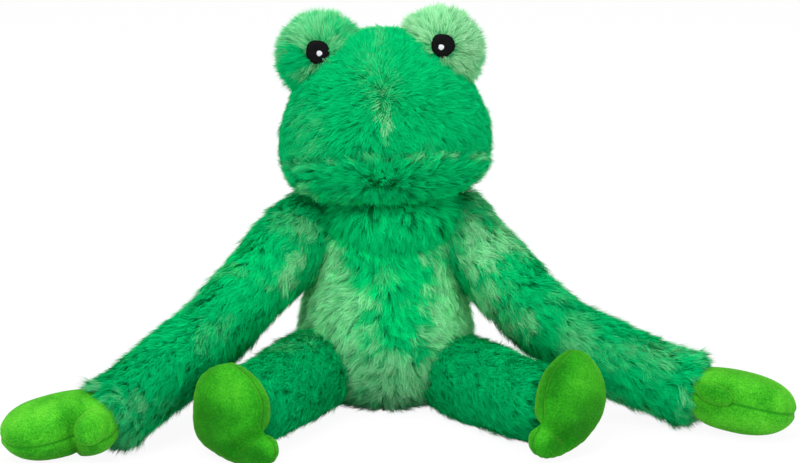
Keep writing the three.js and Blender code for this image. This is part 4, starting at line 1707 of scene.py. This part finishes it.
@dataclass
class Hand:
    """A stuffed mitten of short-nap cloth, sewn from a back and a palm panel, with a thumb."""

    shop: Workshop
    side: Side
    turn: float
    length: float
    width: float
    thick: float
    roll: float
    under: float
    thumb: Thumb
    shares: Array
    creases: tuple[Crease, ...] = ()
    middle: Pair = (0.4, 0.02)
    even: float = 0.6
    stub: float = 16.5
    rests: float = 2.0
    steepest: float = 35.0
    brushed: float = 0.22

    def __post_init__(self) -> None:
        """Solves the loft of the mitten's panels."""
        self.wrist = JOINTS[f"wrist_{self.side.label}"]
        self.spans = np.array([self.length, self.width])
        self.panel = Panel(rounded(self.shares) * self.spans, self.middle * self.spans)

    def pillow(self, pitch: float) -> Pillow:
        """The mitten with its tip lowered by an angle."""
        turn, tilt, sign = math.radians(self.turn), math.radians(pitch), self.side.sign
        level = np.array([sign * math.sin(turn), -math.cos(turn), 0.0])
        tip = level * math.cos(tilt) - UP * math.sin(tilt)
        thumb = np.array([-sign * math.cos(turn), -math.sin(turn), 0.0])
        thumb = unit(thumb - UP * math.tan(math.radians(self.roll)))
        thumb = unit(thumb - (thumb @ tip) * tip)
        matrix = np.stack([tip, thumb, np.cross(tip, thumb) * -sign])
        return Pillow(
            self.spans, self.thick, self.shares, self.panel, matrix, self.wrist, 71 + sign,
            self.under, self.even, self.creases,
        )

    def resting(self) -> float:
        """The pitch that brings the mitten's lowest point to the floor, by halving."""
        u, v = np.meshgrid(np.linspace(0, 1, 80), np.linspace(0.02, 0.98, 60))
        low, high = -self.steepest, self.steepest
        for _ in range(16):
            middle = (low + high) / 2
            if self.pillow(middle).at(u.ravel(), v.ravel())[:, 2].min() > 0.2:
                low = middle
            else:
                high = middle
        return (low + high) / 2

    def build(self) -> list[Piece]:
        """Builds the mitten, its thumb and the stub inside its cuff."""
        label = self.side.label
        mitten = self.pillow(self.resting() - self.rests)
        lobes = [Ball(self.wrist, np.full(3, self.stub)), self.thumb.on(mitten)]
        nodes = (f"hand_back_{label}", f"hand_palm_{label}", f"hand_filling_{label}")
        # painted light and shade: ovals of lighter and darker nap over the cloth's base level
        brushed = with_painted_light(HAND_PAINTED_SHADING, self.brushed)
        return [sewn_piece(f"hand_{label}", mitten, lobes, self.shop.nap, nodes, brushed)]


@dataclass
class Foot:
    """A stuffed foot of short-nap cloth, its sole turned to the front."""

    shop: Workshop
    side: Side
    turn: float
    lift: float
    aside: float
    height: float
    shares: Array
    width: float = 61.0
    thick: float = 35.0
    under: float = 1.7
    middle: Pair = (-0.05, -0.22)
    reach_share: float = 0.6
    tilt: float = 8.0
    stub: float = 18.0
    brushed: float = 0.14
    creases: tuple[Crease, ...] = (Crease((0.48, -0.14), (0.2, -0.34), 0.8, 4.4, both=True),)

    def build(self) -> list[Piece]:
        """Builds the foot and the stub that runs back into its cuff."""
        label, sign = self.side.label, self.side.sign
        turn, tilt = math.radians(self.turn), math.radians(self.tilt)
        inward = np.array([-sign * math.cos(turn), -math.sin(turn), 0.0])
        sole = np.array([sign * math.sin(turn), -math.cos(turn), 0.0]) * math.cos(tilt)
        sole = sole + UP * math.sin(tilt)
        matrix = np.stack([inward, np.cross(inward, sole) * sign, sole])
        ankle = JOINTS[f"ankle_{label}"]
        centre = ankle + sole * self.thick * self.reach_share + [self.aside, 0.0, 0.0]
        spans, shares = np.array([self.width, self.height]), rounded(self.shares)
        pad = Pillow(
            spans, self.thick, shares, Panel(shares * spans, self.middle * spans), matrix,
            centre, 81, self.under, creases=self.creases,
        )
        lowest = closed_grid(pad, 160, 60).points[:, 2].min()
        pad.origin = centre + UP * (FLOOR_GAP + self.lift - lowest)
        nodes = (f"foot_sole_{label}", f"foot_upper_{label}", f"foot_filling_{label}")
        # painted light and shade: ovals of lighter and darker nap over the cloth's base level
        stub, brushed = Ball(ankle, np.full(3, self.stub)), with_painted_light(FOOT_PAINTED_SHADING, self.brushed)
        return [sewn_piece(f"foot_{label}", pad, [stub], self.shop.painted_shade_sole_nap, nodes, brushed)]


# Limbs. A sleeve's two rows are places along it and radii there, as shares of its radius.

UPPER_ARM_PLACES = (0.0, 0.01, 0.06, 0.16, 0.3, 0.45, 0.6, 0.74, 0.84, 0.9, 0.92)
FOREARM_ROWS = (
    (0.1, 0.12, 0.17, 0.25, 0.36, 0.48, 0.6, 0.72, 0.84, 0.92, 0.97, 0.995, 1.0),
    (0.0, 0.7, 0.92, 0.97, 0.97, 0.96, 0.99, 0.98, 0.96, 0.97, 0.99, 0.84, 0.0),
)
LEG_ROWS = (
    (0.0, 0.01, 0.06, 0.16, 0.3, 0.45, 0.6, 0.74, 0.86, 0.94, 0.985, 1.0),
    (0.0, 0.6, 0.9, 1.0, 1.05, 1.03, 1.0, 0.98, 0.96, 0.9, 0.78, 0.0),
)
# Painted light and shade on the arms: lighter high on both upper arms, darker low on the left
# forearm.
ARM_PAINTED_LIGHT = (
    (255, 265, 45, 40, -45, 0.2), (140, 400, 45, 30, -40, -0.14), (495, 262, 40, 40, 45, 0.13),
)
# Paler patches on the arms where the pile's lie turns: its paler sides and roots show, and part of
# the paleness is painted sheen.
LEFT_ARM_PALE = (
    (290, 266, 9, 20, 25, 1.0), (310, 225, 9, 5, 0, 0.4), (215, 330, 20, 8, -40, 0.15),
    (140, 400, 14, 9, -40, 0.4),
)
RIGHT_ARM_PALE = (
    (482, 243, 22, 22, 35, 1.0), (484, 290, 8, 12, 0, 0.7), (512, 318, 15, 14, 20, 0.7),
    (660, 355, 26, 6, 20, 0.3), (600, 385, 20, 8, 30, 0.3),
)


def sleeve(knots: list[Array], radius: float, rows: tuple, tip: float = 6.0) -> Sleeve:
    """A sleeve through knots, its two ends drawn in to a tip."""
    radii = np.array(rows[1]) * radius
    radii[[0, -1]] = tip
    return Sleeve(np.array(knots), np.stack([rows[0], radii], axis=1))


@dataclass
class Limb(FurPart):
    """One furred sleeve, laid over the joint where two bodies meet."""

    sizes = (48, 60)
    name: str
    outside: Sleeve
    carried: Carried
    coat: Coat
    seed: int
    pale: Ovals
    hide_in: list[Form] = field(default_factory=list)
    droop: float = 0.25
    shown: Pair = (0.0, 1.0)
    patchy: float = 0.3
    light: Field = evenly
    fringe: Optional[Coat] = None
    fringe_at: Pair = (0.955, 0.998)

    def __post_init__(self) -> None:
        """Lays out the cloth under the pile, and its pale patches."""
        self.tone = blotched(self.pale, self.seed + 3, patchy=self.patchy)
        self.base = Sleeve(self.outside.knots, self.outside.rows - [0, self.coat.pile_depth])

    def comb(self, points: Array) -> Array:
        """Along the sleeve towards its cuff, drooping a little."""
        return self.base.along(self.base.nearest(points)[0]) - self.droop * UP

    def within(self, points: Array, ends: Pair) -> Array:
        """True at points on a stretch of the sleeve."""
        share, _ = self.base.nearest(points)
        return (share >= ends[0]) & (share <= ends[1])

    def keep(self, points: Array) -> Array:
        """Outside the larger forms and within the sleeve's own stretch."""
        hidden = hidden_in(self.hide_in, points, self.coat.pile_depth + 4)
        return self.within(points, self.shown) & ~hidden

    def at_end(self, points: Array) -> Array:
        """The sleeve's last stretch, before it turns in."""
        return self.within(points, self.fringe_at)

    def build(self) -> list[Piece]:
        """Builds the cloth, its pile and the longer, paler tufts round the cuff's open end."""
        strands = self.grow(self.base, self.coat, self.seed)
        if self.fringe is not None:
            tone = blotched((), self.seed + 9, base=0.3, patchy=0.6)
            strands += self.grow(self.base, self.fringe, self.seed + 17, self.at_end, tone)
        part, label = self.name.rsplit("_", 1)
        return self.dressed(
            f"{self.name}_{{}}", self.base, strands, self.carried,
            f"{part}_skin_{label}", f"{part}_filling_{label}",
        )


@dataclass
class Arm:
    """An arm: a sleeve from the shoulder, one from the middle of the upper arm to the cuff."""

    shop: Workshop
    side: Side
    hand: Hand
    torso: Torso
    pale: Ovals
    sag: Pair
    cuff: float
    swell: float
    radius: float = 29.0
    coat: Coat = Coat(stray=0.24, rise=(46.0, 15.0))
    fringe: Coat = Coat(
        spacing=3.6, strands=18, length=15.5, rise=(44.0, 40.0), stray=0.4, gather=0.6
    )

    def __post_init__(self) -> None:
        """Lays out the arm's path and its two sleeves."""
        label, sign, swell = self.side.label, self.side.sign, self.swell
        shoulder, elbow, wrist = (
            JOINTS[f"{joint}_{label}"] for joint in ("shoulder", "elbow", "wrist")
        )
        upper, fore = unit(elbow - shoulder), unit(wrist - elbow)
        high, low = (UP * shift for shift in self.sag)
        soft_elbow = elbow + 0.12 * ((shoulder + wrist) / 2 - elbow) + low
        middle = shoulder + (elbow - shoulder) * 0.5 + high
        self.upper_sleeve = sleeve([
            shoulder - upper * 34, shoulder + high, shoulder + upper * 28 + high, middle,
            middle + upper * 22, soft_elbow,
        ], self.radius, (
            UPPER_ARM_PLACES, (0.0, 0.6, 0.9, 1.0, swell, swell, 1.0, 0.97, 0.93, 0.7, 0.0),
        ))
        fore_sleeve = sleeve([
            shoulder + upper * 20 + high, middle, middle + upper * 24, soft_elbow,
            elbow + fore * 34 + low, elbow + fore * 68 + low,
            wrist + fore * self.cuff + 0.4 * low,
        ], self.radius, FOREARM_ROWS)
        names = (f"upper_arm_{label}", f"forearm_{label}")
        at_shoulder = Carried(("torso", names[0]), (shoulder - upper * 6, shoulder + upper * 26))
        at_elbow = Carried(names, (elbow - upper * 24, elbow + fore * 24))
        light = with_painted_light(ARM_PAINTED_LIGHT)
        self.limbs = (
            Limb(self.shop, names[0], self.upper_sleeve, at_shoulder, self.coat, 101 + sign,
                 self.pale, [self.torso.outside], shown=(0.0, 0.66), light=light),
            Limb(self.shop, names[1], fore_sleeve, at_elbow, self.coat, 111 + sign,
                 self.pale, shown=(0.2, 1.0), light=light, fringe=self.fringe),
        )
        self.torso.limbs.append(self.upper_sleeve)

    def build(self) -> list[Piece]:
        """Builds both sleeves and the hand."""
        upper_arm, forearm = self.limbs
        return [*upper_arm.build(), *forearm.build(), *self.hand.build()]


@dataclass
class Leg:
    """A short thick leg and its foot."""

    shop: Workshop
    side: Side
    foot: Foot
    torso: Torso
    sag: float
    pale: Ovals = ()
    radius: float = 32.0
    coat: Coat = Coat(rise=(34.0, 8.0), gather=0.32, stray=0.17, vary=0.15, wander=0.26)
    lightness: float = 0.96

    def __post_init__(self) -> None:
        """Lays out the leg's path and sleeve."""
        label = self.side.label
        hip, ankle = JOINTS[f"hip_{label}"], JOINTS[f"ankle_{label}"]
        along, low = unit(ankle - hip), -UP * self.sag
        outside = sleeve([
            hip - along * 24, hip + low, hip + (ankle - hip) * 0.35 + low,
            hip + (ankle - hip) * 0.7 + low, ankle + along * 3,
        ], self.radius, LEG_ROWS)
        name = f"leg_{label}"
        self.limb = Limb(
            self.shop, name, outside,
            Carried(("torso", name), (hip - along * 8, hip + along * 30)), self.coat,
            121 + self.side.sign, self.pale, [self.torso.outside], droop=0.45, patchy=0.0,
            light=with_painted_light(base=self.lightness),
        )
        self.torso.limbs.append(outside)

    def build(self) -> list[Piece]:
        """Builds the sleeve and the foot."""
        return [*self.limb.build(), *self.foot.build()]


# The studio, in metres.


@dataclass(frozen=True)
class Lamp:
    """A soft box: where it stands, its size and its power."""

    name: str
    place: Triple
    size: float
    power: float


@dataclass
class Studio:
    """Plain soft light on a white floor."""

    lamps: tuple[Lamp, ...] = (
        Lamp("key_box", (-0.6, -1.4, 1.7), 1.2, 28.0),
        Lamp("fill_box", (1.1, -1.6, 0.7), 1.4, 10.0),
        Lamp("top_box", (0.0, 0.0, 1.9), 1.4, 16.0),
    )
    world: float = 0.62
    aim: Triple = (0.0, 0.0, 0.14)
    floor_half: float = 6000.0

    def build(self) -> None:
        """Makes the world, the lamps and the floor."""
        scene = bpy.context.scene
        scene.view_settings.view_transform = "Standard"
        scene.world = bpy.data.worlds.new("studio")
        scene.world.use_nodes = True
        tree = scene.world.node_tree
        tree.nodes.clear()
        rays = add_node(tree, "LightPath", {})["Is Camera Ray"]
        plain = add_node(tree, "Background", {0: WHITE, 1: self.world})[0]
        seen = add_node(tree, "Background", {0: WHITE, 1: 1.0})[0]
        mixed = add_node(tree, "MixShader", {0: rays, 1: plain, 2: seen})[0]
        add_node(tree, "OutputWorld", {0: mixed})
        for lamp in self.lamps:
            self.hang(lamp)
        self.lay_floor()

    def hang(self, lamp: Lamp) -> None:
        """Adds a square area lamp that faces the frog."""
        light = bpy.data.lights.new(lamp.name, "AREA")
        light.energy, light.size = lamp.power, lamp.size
        thing = bpy.data.objects.new(lamp.name, light)
        thing.location = lamp.place
        x, y, z = np.array(self.aim) - lamp.place
        thing.rotation_euler = (math.atan2(math.hypot(x, y), -z), 0, math.pi + math.atan2(x, -y))
        bpy.context.scene.collection.objects.link(thing)

    def lay_floor(self) -> None:
        """A wide plane that shows white and keeps the frog's soft shadow."""
        corners = np.array([[-1, -1, 0], [1, -1, 0], [1, 1, 0], [-1, 1, 0]]) * self.floor_half
        square = Grid(corners, np.array([[0, 1, 2, 3]]), np.zeros((0, 3), int))
        build_mesh("floor", square, FloorFinish("matt_white_floor").build())


def main() -> None:
    """Builds the frog piece by piece, then the studio round it."""
    logging.basicConfig(level=logging.INFO)
    shop = Workshop()
    VIEW.build()
    torso = Torso(shop)
    left_hand = Hand(
        shop, Side.LEFT, 69.5, length=87.0, width=53.0, thick=47.5, roll=10.0, under=0.97,
        thumb=Thumb((92, 427), 232.0, 44.0, (17.0, 11.5, 9.5), 4.8), shares=LEFT_HAND_SHARES,
        creases=(Crease((0.46, 0.41), (0.3, 0.36), 0.5, 4.0),),
    )
    right_hand = Hand(
        shop, Side.RIGHT, 66.0, length=81.0, width=50.0, thick=51.0, roll=-12.0, under=0.98,
        thumb=Thumb((714, 394), -20.0, 20.0, (14.5, 7.5, 7.0), 0.5), shares=RIGHT_HAND_SHARES,
    )
    left_foot = Foot(
        shop, Side.LEFT, 33.0, lift=0.0, aside=0.0, height=71.5, shares=LEFT_FOOT_SHARES
    )
    right_foot = Foot(
        shop, Side.RIGHT, 36.0, lift=3.0, aside=2.5, height=74.0, shares=RIGHT_FOOT_SHARES
    )
    limbs = [
        Arm(shop, Side.LEFT, left_hand, torso, LEFT_ARM_PALE, (1.0, -1.5), cuff=9.0, swell=1.08),
        Arm(shop, Side.RIGHT, right_hand, torso, RIGHT_ARM_PALE, (-6.0, -3.4), cuff=2.0, swell=1.0),
        Leg(shop, Side.LEFT, left_foot, torso, sag=0.0, pale=((300, 345, 20, 6, -10, 0.2),)),
        Leg(shop, Side.RIGHT, right_foot, torso, sag=4.0),
    ]
    for part in (torso, Neck(shop), Head(shop), *limbs):
        for piece in part.build():
            LOG.info("%s: %d faces", piece.name, len(piece.data.polygons))
    Studio().build()
    faces = sum(len(thing.data.polygons) for thing in bpy.data.objects if thing.type == "MESH")
    LOG.info("faces in all: %d", faces)


if __name__ == "__main__":
    main()
